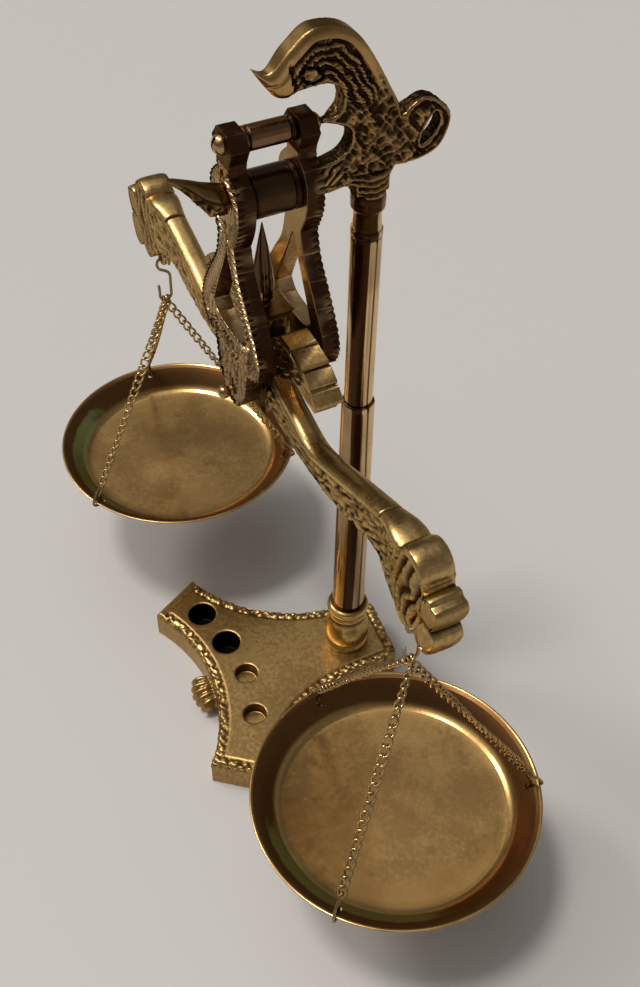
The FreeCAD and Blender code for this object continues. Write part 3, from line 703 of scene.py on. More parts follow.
def column():
    top = low_high("column_foot")[1][2] - BASE_TOP
    foot = [(2, 0), (6.5, 0), (6.85, 0.6), (6.75, 1.4), (6.2, 1.9), (6.05, 2.3)]
    foot += [(5.3 + 1.6 * sin(pi * (0.22 + 0.78 * k / 10)) ** 0.9, 2.5 + 9.6 * k / 10) for k in range(11)]
    foot += [(5.25, 12.7), (5.7, 13.1), (6.05, 13.7), (6.0, 14.5), (5.6, 15.0), (5.55, 15.4), (6.1, 15.7),
             (6.45, 16.4), (6.5, 17.2), (6.2, 18.1), (5.3, top), (2, top)]
    shape = turned(foot, (0, 0, BASE_TOP))
    wear_and_shading = 0.2 + 0.45 * rise(np.linalg.norm(np.array(shape[0])[:, :2], axis=1), 5.2, 6.1)
    new_piece(shape, "column_foot_turned", "stand", "turned_column", wear_and_shading, "column_foot", look="column_foot")
    rings = 40
    for name, (start, end), band in (("lower_column", (4.9, 4.4), (-47, -12)),
                                     ("upper_column", (3.8, 3.8), (-71, -16))):
        low, high = low_high(name)
        length = high[2] - low[2]
        profile = [(2, 0), (start - 0.35, 0)]
        profile += [(start + (end - start) * k / rings, 0.35 + (length - 0.7) * k / rings) for k in range(rings + 1)]
        profile += [(end - 0.35, length), (2, length)]
        shape = turned(profile, (0, 0, low[2]), sides=120)
        height = np.array(shape[0])[:, 2] - low[2]
        wear_and_shading = painted_reflection_bands(shape, *band, 1) - 0.5 * bell(height, 0.5) - 0.5 * bell(length - height, 0.5)
        crease(new_piece(shape, name + "_tube", "stand", "turned_column", wear_and_shading, name), 50)
    low, high = low_high("column_neck")
    length = high[2] - low[2]
    neck = [(2, 0), (3.9, 0), (3.9, 1.7), (3.5, 2.0), (3.45, 3.4), (3.35, 5.2), (3.35, 6.6), (3.5, 7.2), (4.05, 7.6),
            (4.15, 8.2), (4.1, 9.4), (4.2, 9.8), (4.15, 10.4), (4.0, length), (2, length)]
    shape = turned(neck, (0, 0, low[2]))
    height = np.array(shape[0])[:, 2] - low[2]
    wear_and_shading = painted_reflection_bands(shape, -75, 10, 2) - 0.15 - 0.4 * rise(height, 5.5, 8)
    new_piece(shape, "column_neck_turned", "stand", "turned_column", wear_and_shading, "column_neck")


# ---------------------------------------------------------------- head bracket

CREST = [(-28.7, 211.5), (-25, 210.1), (-20.6, 214.5), (-14.7, 218.1), (-5.2, 214.8), (4.2, 199.4), (6.3, 193.8)]
HANDLE = [(6.3, 193.8), (12.3, 196.7), (17.6, 193.4), (19.3, 189.4), (16.9, 183.6), (11.4, 181.4), (5.4, 181.7)]
STEM = [(5.4, 181.7), (4.3, 179.6), (4.2, 175.7), (-4.2, 175.7), (-4.5, 178.8), (-7.2, 179.6), (-11, 179.0),
        (-14.4, 179.2), (-14.4, 186.2), (-11.6, 186.4)]
HOLLOW = [(-11.6, 186.4), (-8, 187.6), (-6, 190.2), (-6.3, 193.2), (-9.2, 195.3), (-12.6, 195.6)]
THROAT = [(-12.6, 196.5), (-9.6, 197.6), (-8.2, 200), (-8.9, 203.2), (-12, 205.4), (-18, 205.3), (-21.5, 204.4),
          (-24.5, 205.6), (-28.7, 211.5)]
HANDLE_HOLE = [(15.2, 192.4), (16.4, 189.6), (14.5, 186.4), (11.9, 185.0), (12.6, 188.8)]
HORN = [(-35.8, 183.2, 3.7, 2.9), (-37.6, 183.6, 3.9, 3.0), (-40.2, 184.9, 3.5, 2.7), (-42.6, 187.0, 2.5, 2.0),
        (-44.8, 188.9, 1.5, 1.4), (-46.8, 190.3, 0.9, 0.8), (-48.3, 191.2, 0.3, 0.3)]  # y, z, half height, half width


def head_bracket():
    crest, throat = smooth_line(CREST), smooth_line(THROAT)
    outline = joined(crest, smooth_line(HANDLE), STEM, smooth_line(HOLLOW), [HOLLOW[-1], THROAT[0]], throat)
    hole = smooth_line(HANDLE_HOLE, closed=True)
    body = prism([outline, hole[::-1]], -2.7, 2.7, across_arm)
    stem = turned([(0, 0), (4.15, 0), (4.15, 6.4), (0, 6.4)], (0, 0, low_high("head_bracket")[0][2]), sides=48)
    shoulder = turned([(0, 0), (3.5, 0), (4.0, 1.4), (3.2, 6.5), (0, 6.5)], (0, -14.35, ARM_Z), "y", 48)
    mesh, points, normals = skin_over([body, stem, shoulder], FINE * 0.9)
    x, y, z = points.T
    flat = points[:, 1:]
    edge = np.minimum(nearest(flat, outline)[0], nearest(flat, hole)[0])
    crest_gap, crest_along = nearest(flat, crest, closed=False)
    throat_gap = nearest(flat, throat, closed=False)[0]
    plate = rise(np.abs(x), 3.3, 2.9)
    flank = rise(np.abs(normals[:, 0]), 0.35, 0.8) * rise(np.abs(x), 1.4, 2.2)
    head_zone = rise(z, 197.5, 200.5) * rise(y, 3, -3)
    beak_zone = rise(y, -19.8, -21.0) * head_zone
    handle_zone = rise(y, 7.5, 9.5)
    stem_zone = rise(z, 183, 180.5) * rise(np.abs(y), 7, 5)
    arm_zone = rise(y, -7.5, -9.5) * rise(z, 189, 187)
    shift = 0.9 * noise(points, 3.4, 4) + 0.5 * noise(points, 1.3, 6)
    sideways = points[:, [1, 2, 0]]
    fine = ridged(flowing(sideways, radians(-50), 1.7), 0.95, 11)
    # head: a smooth band under the crest, then barbed stripes, with a small raised cheek behind the beak
    barbs = wave(crest_along * 1.05 + 0.9 * crest_gap + 1.1 * shift, 1.15)
    stripes = wave(crest_gap - 3.9 + 0.8 * shift, 1.75) ** 0.8 * (0.55 + 0.45 * barbs)
    cheek_reach = np.hypot((y + 16.0) * 0.85, (z - 208.4) * 1.15 + 0.3 * (y + 16.0))
    head = blend(np.clip(stripes + 0.45 * (fine - 0.45), 0, 1), 0.7 + 0.3 * noise(points, 1.0, 9),
                 rise(cheek_reach, 1.9, 1.3))
    head = blend(0.9, head - 0.7 * bell(cheek_reach - 2.1, 0.35), rise(crest_gap, 2.4, 3.0))
    brow_line = bell(crest_gap - 2.6, 0.32) * head_zone
    beak_line = bell(y + 20.1 + 0.25 * (z - 208), 0.5) * rise(crest_gap, 0.8, 2.2)
    # neck and chest: rough overlapping feathers that run down and back
    feathers = ridged(flowing(sideways, radians(-52), 2.3), 1.25, 7)
    scales = wave(z * 0.7 - y * 0.45 + 1.8 * shift, 1.9)
    rings = np.clip(wave(z + 0.6 * shift, 1.6) + 0.5 * (fine - 0.5), 0, 1)
    lines = np.clip(wave(y * 0.5 - z * 0.85 + 0.5 * shift, 1.5), 0, 1)
    loop = np.clip(0.62 - 0.5 * bell(edge - 1.2, 0.35) + 0.8 * (feathers - 0.5), 0, 1)
    pattern = np.clip(0.55 * feathers + 0.4 * fine + 0.3 * scales - 0.12, 0, 1)
    for part, zone in ((head, head_zone), (0.85, beak_zone), (loop, handle_zone), (rings, stem_zone),
                       (lines, arm_zone)):
        pattern = blend(pattern, part, zone)
    inset = rise(edge, 0.35, 1.0)
    round_off = (1 - np.clip(edge / 1.3, 0, 1)) ** 2
    taper = 0.9 * rise(y, -22, -28.5) * head_zone
    spur = rise(y, -9.4, -12) * rise(np.abs(z - 196), 2.2, 1.4)
    width = 1 - 0.30 * round_off - 0.62 * taper - 0.5 * spur - 0.14 * handle_zone
    crown = 0.45 * rise(edge, 0.4, 3.2)
    lift = (crown + inset * (1.15 * pattern - 0.95) - 0.6 * beak_line - 0.4 * brow_line) * flank * plate
    x *= 1 - plate * (1 - width)
    x += np.sign(x) * lift
    x[:] = np.clip(x, -4.2, 4.2)
    on_stem = (1 - plate) * rise(z, 183, 181)
    push(points, normals, on_stem * (0.5 * rings - 0.35))
    rough_zone = 1 - rise(crest_gap, 6, 3) * rise(z, 196, 199)
    back = rise(z, 199, 196)
    chasing = 0.35 * (feathers - 0.5) + 0.1 * noise(points, 0.9, 12)
    chasing *= (1 - flank) * rough_zone * np.maximum(back, rise(throat_gap, 2.5, 1.5))
    points[:, 1:] += normals[:, 1:] * chasing[:, None]
    wear_and_shading = 0.72 * pattern ** 1.5 * flank * inset + 0.5 * (1 - inset) * flank
    wear_and_shading += (1 - flank) * (0.34 - 0.3 * np.maximum(rough_zone * back, stem_zone))
    # painted highlight: the front of the head, over the beak, is painted lighter; the beak and brow lines are darker
    # grooves
    wear_and_shading += 0.2 * rise(y, -17, -20) * head_zone - 0.5 * beak_line * flank - 0.35 * brow_line * flank
    wear_and_shading = blend(wear_and_shading, 0.05 + 0.5 * rings, on_stem)
    cast_piece(mesh, points, "head_bracket_cast", "stand", "dark_casting", wear_and_shading, "head_bracket")


def arm_finial():
    """A horn on the spindle's end: smooth above, chased on its belly, its tip turned up."""
    stations = smooth_line(HORN, 9)
    sides = 64
    points = np.array([(wide * cos(angle), y, z + tall * sin(angle))
                       for y, z, tall, wide in stations for angle in around(sides)])
    faces = tube_faces(len(stations), sides) + end_faces(len(stations), sides)
    x, y, z = points.T
    centre = np.interp(y, *np.array(stations)[::-1, :2].T)
    belly = rise(z - centre, 0.6, -1.0) * rise(y, -46.5, -43.5)
    chased = ridged(flowing(points[:, [1, 2, 0]], radians(35), 2.2), 1.3, 3)
    outward = np.column_stack([x, np.zeros(len(x)), z - centre])
    outward /= np.maximum(np.linalg.norm(outward, axis=1), 0.1)[:, None]
    push(points, outward, belly * (0.75 * chased - 0.65))
    ridge = bell(z - centre - 0.5, 0.3) * rise(y, -46.5, -44)
    push(points, outward, -0.2 * ridge)
    wear_and_shading = 0.34 + belly * (0.6 * chased - 0.5) - 0.25 * ridge
    new_piece((points, faces), "arm_finial_horn", "stand", "dark_casting", wear_and_shading, "arm_finial")


def arm_stud():
    low, high = low_high("arm_stud")
    length = high[1] - low[1]
    rod = turned([(0, 0), (2.3, 0), (2.5, 0.3), (2.5, length - 0.3), (0, length)], (0, low[1], ARM_Z), "y", 64)
    new_piece(rod, "arm_stud_rod", "stand", "dark_casting", None, "arm_stud")


# ---------------------------------------------------------------- yoke

PLATE_HEAD = [(0, 199.4), (2.6, 199.4), (5.0, 196.3), (3.2, 192.6), (2.9, 190.2)]
PLATE_BOSS = [(2.9, 190.2), (6.6, 186.4), (7.4, 182), (6.6, 177.5), (4.2, 172.4)]
PLATE_LEG = [(4.2, 172.4), (6, 166), (10.2, 159.6), (14.6, 152.4), (16.4, 146.6), (14.6, 141.8)]
PLATE_FOOT = [(14.6, 141.8), (11.6, 140.8), (9, 139.3), (7.7, 133), (5.7, 129.4), (3, 126), (0, 124.9)]
PLATE_OPENING = [(0, 170.2), (2.4, 165), (6.8, 156), (9.2, 150.4), (6.2, 147.8), (0, 147.2)]
PLATE_NECK_Z = 191.6


def yoke_outlines():
    right = joined(PLATE_HEAD[:4], smooth_line(PLATE_HEAD[3:]), smooth_line(PLATE_BOSS), smooth_line(PLATE_LEG),
                   PLATE_FOOT[:2], smooth_line(PLATE_FOOT[1:]))
    half = smooth_line(PLATE_OPENING[:4]) + smooth_line(PLATE_OPENING[3:])
    return joined(right, mirrored(right)), joined(half, mirrored(half))


def dome(gap, half):
    """A round back over a band along an edge."""
    return np.sqrt(np.clip(1 - ((gap - half) / half) ** 2, 0, 1))


def yoke_plate(node, side):
    """A cast cheek: crescents of rope and beads on its outer face, plain inside and on its edges."""
    outline, opening = yoke_outlines()
    low, high = low_high(node)
    inner = high[1] if side < 0 else low[1]
    body = prism([outline, opening[::-1]], low[1] - YOKE_Y, high[1] - YOKE_Y, across_beam)
    mesh, points, normals = skin_over([body], FINE * 0.82)
    flat = points[:, [0, 2]]
    u, v = flat.T
    y, out = points[:, 1], normals[:, 1] * side
    gap, along = nearest(flat, outline)
    hole_gap, hole_along = nearest(flat, opening)
    face = rise(out, 0.3, 0.75) * rise(np.abs(y - inner), 2.5, 3.5)
    strand = folds(along + 0.9 * (gap - 1.9) + 0.22 * (gap - 1.9) ** 2, 1.7)
    rope = dome(gap, 1.9) ** 0.35 * (0.08 + 0.92 * strand ** 2.4)
    beads = dome(hole_gap, 1.15) ** 0.4 * (0.1 + 0.9 * folds(hole_along + 0.8 * hole_gap, 1.5) ** 1.8)
    warp = 1.5 * noise(points, 3.0, 21) + 0.5 * noise(points, 1.2, 23)
    bark = ridged(flowing(points[:, [0, 2, 1]], radians(90), 2.6), 1.1, 22)
    waves = 0.55 * folds(u + warp, 1.35) ** 1.6 + 0.45 * bark
    in_rope = rise(gap, 3.9, 3.6)
    in_beads = rise(hole_gap, 2.45, 2.25) * (1 - in_rope)
    height = rope * in_rope + beads * in_beads + waves * (1 - in_rope) * (1 - in_beads)
    height = blend(height, waves, rise(v, 144.0, 142.5))
    height = 1 - (1 - height) * (0.3 + 0.7 * rise(np.hypot(u, v - ARM_Z), 5.0, 5.8))
    head = rise(v, PLATE_NECK_Z, PLATE_NECK_Z - 1)
    height = 0.92 + (height - 0.92) * head
    y -= side * face * 1.5 * (1 - height)
    inner_face = rise(-out, 0.5, 0.9)
    on_edge = (1 - face) * (1 - inner_face)
    at_opening = (hole_gap < gap) & (on_edge > 0.4)
    near_face = rise(np.abs(y - inner), 1.6, 3.6)
    scallop = on_edge * near_face * head * ~at_opening
    push(points, normals, scallop * (0.6 * strand ** 0.6 - 0.4) + on_edge * 0.06 * layered(points, 1.8, 24))
    scratch = bell(np.mod(v + 0.3 * noise(points, 2, 28), 5.3) - 2.6, 0.12)
    edge_wear = 0.05 + 0.25 * noise(points, 3, 25) + 0.22 * scratch + 0.12 * near_face * strand
    wear_and_shading = face * (0.75 * height ** 1.1 - 0.04) + inner_face * 0.5 * (1 - face)
    wear_and_shading += on_edge * np.where(at_opening, 0.75, edge_wear)
    wear_and_shading = np.where(v > PLATE_NECK_Z, 0.12 + 0.25 * noise(points, 4, 26), wear_and_shading)
    cast_piece(mesh, points, node.replace("plate", "cheek"), "yoke", "yoke_casting", wear_and_shading, node)


def yoke_tubes():
    for node, radius, bore, shine in (("arm_sleeve", 5.45, 2.56, 0.16), ("yoke_spacer", 2.8, 1.3, 0.5)):
        low, high = low_high(node)
        length = high[1] - low[1]
        profile = [(bore, 0), (radius, 0), (radius, 0.9), (radius - 0.3, 1.0), (radius - 0.3, 1.25), (radius, 1.35)]
        profile += [(radius, length * k / 12) for k in range(2, 11)]
        profile += [(radius, length - 1.5), (radius - 0.35, length - 1.35), (radius - 0.35, length - 0.9),
                    (radius, length - 0.8), (radius, length), (bore, length)]
        shape = turned(profile, (0, low[1], middle(node)[2]), "y", 112, 0.12)
        place = np.array(shape[0])[:, 1] - low[1]
        # painted shadow: each tube is painted darker over its last stretch, where it meets the back cheek
        wear_and_shading = shine - 0.45 * bell(place - 1.1, 0.35) - 0.5 * rise(place, length - 1.8, length - 1.2)
        crease(new_piece(shape, node + "_turned", "yoke", "yoke_tube", wear_and_shading, node), 60)


def cheek_faces():
    """The two outer faces of the cheeks: which side, and its level."""
    return (-1, low_high("yoke_front_plate")[0][1]), (1, low_high("yoke_back_plate")[1][1])


def on_cheeks(profile, height, sides, soften, from_tip):
    """A lathe shape on each cheek's outer face; from_tip says which end its profile starts at."""
    parts = []
    for side, face in cheek_faces():
        points, faces = turned([(r, side * h) for r, h in profile], (0, face, height), "y", sides, soften)
        parts.append((points, turned_over(faces) if (side > 0) == from_tip else faces))
    return stacked(parts)


def yoke_screws():
    """Round slotted heads on both ends of the spacer's screws."""
    profile = [(2.3 * sin(radians(a)), 2.0 * cos(radians(a))) for a in range(0, 91, 6)] + [(2.3, -0.2), (0, -0.2)]
    item = new_piece(on_cheeks(profile, SPACER_Z, 72, 0.05, True), "yoke_screw_heads", "yoke", "bright_fastener",
                     None, "yoke_screws")
    slot = [rectangle(0.32, SPACER_Z - 4, SPACER_Z + 4)]
    cut_with(item, [prism(slot, *sorted((face - YOKE_Y + side * 1.15, face - YOKE_Y + side * 3)), across_beam)
                    for side, face in cheek_faces()])
    crease(item, 40)


def pivot_nuts():
    """A ball nut with a small collar on each end of the pivot pin."""
    sphere = [(1.65 * sin(radians(a)), 2.0 - 1.65 * cos(radians(a))) for a in range(43, 173, 8)]
    profile = [(0, -0.3), (1.35, -0.3), (1.45, 0.25), (1.0, 0.5), *sphere, (0, 3.65)]
    new_piece(on_cheeks(profile, PIVOT_Z, 64, 0.06, False), "pivot_ball_nuts", "yoke", "bright_fastener", None,
              "pivot_nuts")


# ---------------------------------------------------------------- beam

ARM_TOP = [(3, 137), (9, 133), (16.4, 130.4), (26.1, 128.2), (37, 131), (53.4, 136.8), (64.8, 140.2), (71, 140)]
ARM_BOTTOM = [(70, 121.5), (65.5, 124.4), (60, 126.6), (52.5, 126), (40.5, 122.9), (26, 121.6), (12, 122.8),
              (3, 125)]
WING_CORE = [(3.5, 142.5), (8, 148.6), (13.2, 151.6), (18.2, 151.4), (24, 149.9), (27.8, 147.4), (30.6, 144.4),
             (29.4, 142.2), (24, 142.6), (19, 143.2), (12, 139), (3.5, 134)]
WING_TOP = [(12.6, 152.6), (18.3, 152.7), (24.6, 151.1), (28.7, 148.4), (31.9, 144.9)]
CROSS_GROOVE_X = 60.2
BLOCK_LOW = 121.5
LOBE_CENTRE, LOBE_RADIUS = (75.2, 137.0), 5.3
OGEE = [(80.8, 134.0), (82.0, 135.4), (83.6, 135.8), (84.5, 134.9), (86.2, 134.7), (87.0, 133.2), (86.6, 130.8),
        (85.3, 127.9), (83.4, 127.2), (80, 127.5), (77, 130)]
LAST_LOBE = [(82, 127.3), (85.2, 126.7), (86.5, 124.9), (86.2, 122.4), (84.8, 119.4), (82.6, 118.0), (80.4, 118.3),
             (78.8, 120.6), (78.6, 124)]
SCROLL_LEAF = [(66, 136), (67.2, 129.5), (69.2, 123.5), (72.6, 118.9), (75.4, 118.8), (78.6, 121.6), (80.2, 126),
               (81.4, 131), (80.6, 137), (76.5, 140.6), (70, 139.4)]
VALLEYS = ([(79.4, 133), (81.2, 134.6)], [(82, 127.2), (85.2, 127.2)])


def beam_arm(word, side):
    top = smooth_line(ARM_TOP)
    outline = joined(top, smooth_line(ARM_BOTTOM))
    mesh, points, normals = skin_over([prism([outline], -3, 3, across_beam)], FINE * 0.85)
    flat = points[:, [0, 2]]
    u, v = flat.T
    y, z = points[:, 1], points[:, 2]
    gap, along = nearest(flat, top, closed=False)
    run = np.column_stack([along / 2.6 + 0.37 * side, gap + 0.25 * along / 2.6, y])
    rough = ridged(run, 1.15, 31 + side)
    leaf = folds(gap * 0.8 + 0.25 * along + 1.3 * noise(points, 3, 33), 1.9)
    height = np.clip(0.65 * rough + 0.45 * leaf, 0, 1)
    deep = rise(np.abs(normals[:, 1]), 0.35, 0.8) * rise(gap, 0.7, 1.4)
    y -= np.sign(normals[:, 1]) * deep * 0.85 * (1 - height)
    upper = rise(normals[:, 2], 0.4, 0.8) * rise(gap, 1.5, 0.4)
    spread = np.clip(np.abs(y - YOKE_Y) / 3, 0, 1)
    z += rise(gap, 2.2, 0.0) * (0.35 - 1.15 * spread ** 3.2)
    groove = bell(u - CROSS_GROOVE_X + 0.25 * (v - 139), 0.34) * upper
    z -= 0.65 * groove
    z += upper * 0.12 * noise(points, 5, 35)
    y[:] = YOKE_Y + (y - YOKE_Y) * (1 + 0.38 * rise(u, 59, 69))
    lower = rise(-normals[:, 2], 0.4, 0.8)
    push(points, normals, lower * 0.3 * (rough - 0.5))
    wear_and_shading = 0.62 - deep * (0.62 - 0.72 * height) - 0.6 * groove - 0.3 * lower
    cast_piece(mesh, points, "beam_arm_" + word, "beam", "beam_casting", wear_and_shading, flip=side < 0)


def beam_centre():
    """Square block under the pointer, with a leaf wing on each side."""
    left_core = [(-x, z) for x, z in WING_CORE]
    wings = [prism([core], -2.9, 2.9, across_beam) for core in (WING_CORE, left_core[::-1])]
    block_top = low_high("pointer")[0][2]
    block = prism([rectangle(4.3, BLOCK_LOW, block_top - 0.7)], -3.8, 3.8, across_beam)
    mesh, points, normals = skin_over(wings + [block], FINE)
    flat = points[:, [0, 2]]
    u, v = flat.T
    core = smooth_line(WING_CORE, 3, closed=True)
    gap = np.minimum(nearest(flat, core)[0], nearest(flat, mirrored(core))[0])
    face = rise(np.abs(normals[:, 1]), 0.35, 0.8)
    wing = rise(np.abs(u), 4.5, 6)
    radial = np.arctan2(v - 136, np.abs(u) - 2)
    reach = np.hypot(v - 136, np.abs(u) - 2)
    feather = folds(radial * reach / 2.1 + 0.35 * noise(points, 2.4, 41), 1)
    grain = ridged(np.column_stack([radial * 14, reach / 2.6, points[:, 1]]), 1.3, 42)
    bark = ridged(flowing(points[:, [0, 2, 1]], radians(90), 2.4), 1.3, 43)
    height = blend(bark, np.clip(0.6 * feather + 0.5 * grain, 0, 1), wing)
    inside = blend(1, rise(gap, 0.4, 1.0), wing)
    points[:, 1] -= np.sign(normals[:, 1]) * face * inside * 0.9 * (1 - height)
    side_face = (1 - face) * (1 - wing) * rise(np.abs(normals[:, 0]), 0.4, 0.8)
    points[:, 0] -= np.sign(normals[:, 0]) * side_face * 0.3 * (1 - bark)
    wear_and_shading = 0.55 - face * inside * (0.6 - 0.75 * height) + 0.2 * (1 - inside) * face
    wear_and_shading = blend(0.12 + 0.4 * bark * side_face, wear_and_shading, wing)
    cast_piece(mesh, points, "beam_centre_cast", "beam", "beam_casting", wear_and_shading, "beam")
    cap = prism([rectangle(4.5, -4, 4)], block_top - 1.4, block_top, lambda x, y, z: (x, YOKE_Y + y, z))
    eased(new_piece(cap, "beam_block_cap", "beam", "beam_casting", np.full(len(cap[0]), 0.26)))


def wing_plates(word, side):
    """Four bright flats on top of a wing with dark slots between them."""
    parts = []
    for index, (start, end) in enumerate(zip(np.array(WING_TOP), np.array(WING_TOP[1:]))):
        way = unit(end - start)
        inward = np.array([way[1], -way[0]])
        a, b = start + way * (0.3 if index else 0), end - way * 0.3
        loop = [a + inward * 0.35, a + way * 0.5, b - way * 0.5, b + inward * 0.35, b + inward * 1.8 - way * 0.15,
                a + inward * 1.8]
        loop = [(side * p[0], p[1]) for p in loop]
        parts.append(prism([loop if side < 0 else loop[::-1]], -3.3, 3.3, across_beam))
    shape = stacked(parts)
    wear_and_shading = 0.46 + 0.3 * rise(np.abs(np.array(shape[0])[:, 1] - YOKE_Y), 2, 3.3)
    eased(new_piece(shape, "wing_flats_" + word, "beam", "beam_casting", wear_and_shading))


def scroll_end(word, side):
    """Three stacked mouldings across the arm's end, a leaf on each face, and the eye for the hook."""
    ogee, last = (smooth_line(lobe, 5, closed=True)[::-1] for lobe in (OGEE, LAST_LOBE))
    leaf = smooth_line(SCROLL_LEAF, 6, closed=True)
    lobes = [circle(LOBE_CENTRE, LOBE_RADIUS, 40), ogee, last]
    parts = [prism([loop], -half, half, across_beam) for loop, half in zip([*lobes, leaf], (4.3, 4.2, 3.9, 3.9))]
    eye_z = low_high("beam")[0][2] + 2.7
    ring = [(EYE_X + 2.0 * cos(angle), YOKE_Y, eye_z + 2.0 * sin(angle)) for angle in around(28)]
    mesh, points, normals = skin_over(parts + [swept(ring, 0.82, closed=True, sides=12)], FINE * 0.8)
    flat = points[:, [0, 2]]
    u, v = flat.T
    y = points[:, 1]
    face = rise(np.abs(normals[:, 1]), 0.35, 0.8)
    across, way = np.abs(y - YOKE_Y), np.sign(y - YOKE_Y)
    leaf_gap = nearest(flat, leaf)[0]
    over_leaf = in_loop(flat, leaf)
    on_leaf = face * over_leaf * rise(leaf_gap, 0.0, 0.6) * rise(across, 3.2, 3.6)
    leaf_folds = folds(u * 0.8 - v * 0.2 + 1.5 * noise(points, 4.2, 51), 2.7) ** 1.3
    leaf_folds = np.clip(0.85 * leaf_folds + 0.25 * ridged(points, 1.3, 52), 0, 1)
    level = 3.55 + 1.1 * np.sqrt(np.clip(leaf_gap / 4.5, 0, 1)) - 1.3 * (1 - leaf_folds) * rise(leaf_gap, 0.5, 1.4)
    y += way * on_leaf * (level - across)
    eye = rise(np.hypot(u - EYE_X, v - eye_z), 3.2, 2.8)
    lobe_gap = np.min([nearest(flat, lobe)[0] for lobe in lobes], axis=0)
    plain = (1 - eye) * (1 - over_leaf)
    y -= way * face * (1 - on_leaf) * plain * 1.2 * (1 - np.clip(lobe_gap / 2.2, 0, 1)) ** 2
    push(points, normals, (1 - face) * plain * (0.25 - 0.55 * (across / 4.3) ** 4))
    push(points, normals, 0.04 * layered(points, 2.4, 53))
    valley = np.min([nearest(flat, line, closed=False)[0] for line in VALLEYS], axis=0)
    wear_and_shading = 0.55 - on_leaf * (0.62 - 0.6 * leaf_folds) * rise(leaf_gap, 0.3, 1.2)
    wear_and_shading -= 0.45 * rise(valley, 1.1, 0.2) * (1 - on_leaf)
    cast_piece(mesh, points, "beam_scroll_" + word, "beam", "beam_casting", blend(wear_and_shading, 0.75, eye), flip=side < 0)


def pointer():
    """Turned bullet-shaped needle on a foot ring."""
    low, high = low_high("pointer")
    length = high[2] - low[2]
    profile = [(0, 0), (1.75, 0), (1.9, 0.5), (1.5, 1.0), (1.45, 1.6), (1.9, 2.0), (2.3, 2.5), (2.3, 3.2)]
    profile += [(2.3 + 0.32 * sin(pi * k / 6), 3.6 + k * 0.85) for k in range(7)]
    profile += [(2.3 * (1 - (k / 12) ** 1.2) + 0.14, 8.7 + (length - 8.8) * k / 12) for k in range(1, 13)]
    shape = turned(profile + [(0, length)], (0, middle("pointer")[1], low[2]), sides=80, soften=0.1)
    wear_and_shading = 0.42 - 0.3 * bell(np.array(shape[0])[:, 2] - low[2] - 1.5, 0.6)
    new_piece(shape, "pointer_needle", "beam", "pointer_brass", wear_and_shading, "pointer")


# ---------------------------------------------------------------- hooks, chains and pans

UP = np.array([0, 0, 1.0])
HOOK_WIRE, HOOK_UPPER, HOOK_LOWER = 0.42, 1.95, 1.8  # half a wire and the radii of the two bends
LOOP_WIRE, LOOP_LENGTH = 0.4, 7.4
LINK_WIRE, PITCH = 0.33, 2.6
PAN_WALL = [(30.2, 0.35), (31.3, 0.9), (32.3, 1.75), (33.3, 2.85), (34.4, 4.1), (35.6, 5.35), (36.7, 6.35)]


def level_way(node, centre):
    """The level direction from a pan's middle to a node."""
    way = middle(node) - centre
    way[2] = 0
    return unit(way)


def hook(word, side):
    """An S of wire: upper bend through the beam's eye, lower bend for the chains, both ends left open."""
    top = HOOK_HIGH - 0.4 - HOOK_UPPER
    bottom = HOOK_LOW + 0.4 + HOOK_LOWER

    def bend(radius, height, angles):
        return [(radius * cos(radians(a)), height + radius * sin(radians(a))) for a in angles]

    flat = bend(HOOK_UPPER, top, range(-25, 196, 20))
    flat += [(-1.35, top - 1.75), (0.0, top - 2.6), (1.3, top - 3.6), (HOOK_LOWER, top - 5.0),
             (HOOK_LOWER, (top - 5.0 + bottom) / 2)]
    flat += bend(HOOK_LOWER, bottom, range(0, -181, -20))
    flat += [(-HOOK_LOWER, bottom + 1.6), (-HOOK_LOWER - 0.1, bottom + 3.6)]
    path = smooth_line([(side * EYE_X, YOKE_Y + y, z) for y, z in flat], 3)
    name = word + "_hook"
    new_piece(swept(path, HOOK_WIRE, sides=12), name + "_wire", name, "wire", None, name)


def rim_ring(word, index, pan_centre):
    """A long wire loop through the pan's rim hole, drawn out towards the chain."""
    node = f"{word}_rim_ring_{index}"
    centre = middle(node)
    out = level_way(node, pan_centre)
    hole = pan_centre + out * 36.9 - UP * 2.0
    way = unit(np.array([pan_centre[0], YOKE_Y, HANG_Z]) - centre)
    tip = centre + way * (LOOP_LENGTH - 2)
    along = np.cross(UP, out)
    flat = [hole - out * 1.2, hole + out * 0.4, centre + out * 1.2 - UP * 0.9, centre + out * 0.9 + way * 2.0,
            centre + out * 0.55 + way * (LOOP_LENGTH - 4), tip + way * 0.45, tip - out * 0.95 - way * 0.6,
            centre - out * 1.25 + way * 2.4, centre - out * 1.75 + way * 0.4, hole - out * 2.0 + UP * 0.5]
    path = smooth_line([point + along * (0.18 * sin(k * 1.3)) for k, point in enumerate(flat)], 5, closed=True)
    new_piece(swept(path, LOOP_WIRE, closed=True), f"{word}_rim_wire_{index}", word + "_pan", "wire", None, node)


def link(centre, along, flat_way, stretch):
    """One curb link: an oval of wire twisted so that its neighbours lie flat on it."""
    half_length = stretch * (PITCH + 2 * LINK_WIRE) / 2
    normal = np.cross(along, flat_way)
    path = [centre + along * half_length * cos(angle) + flat_way * 1.12 * sin(angle) + normal * 0.38 * sin(2 * angle)
            for angle in around(20)]
    return swept(path, LINK_WIRE, closed=True, sides=8)


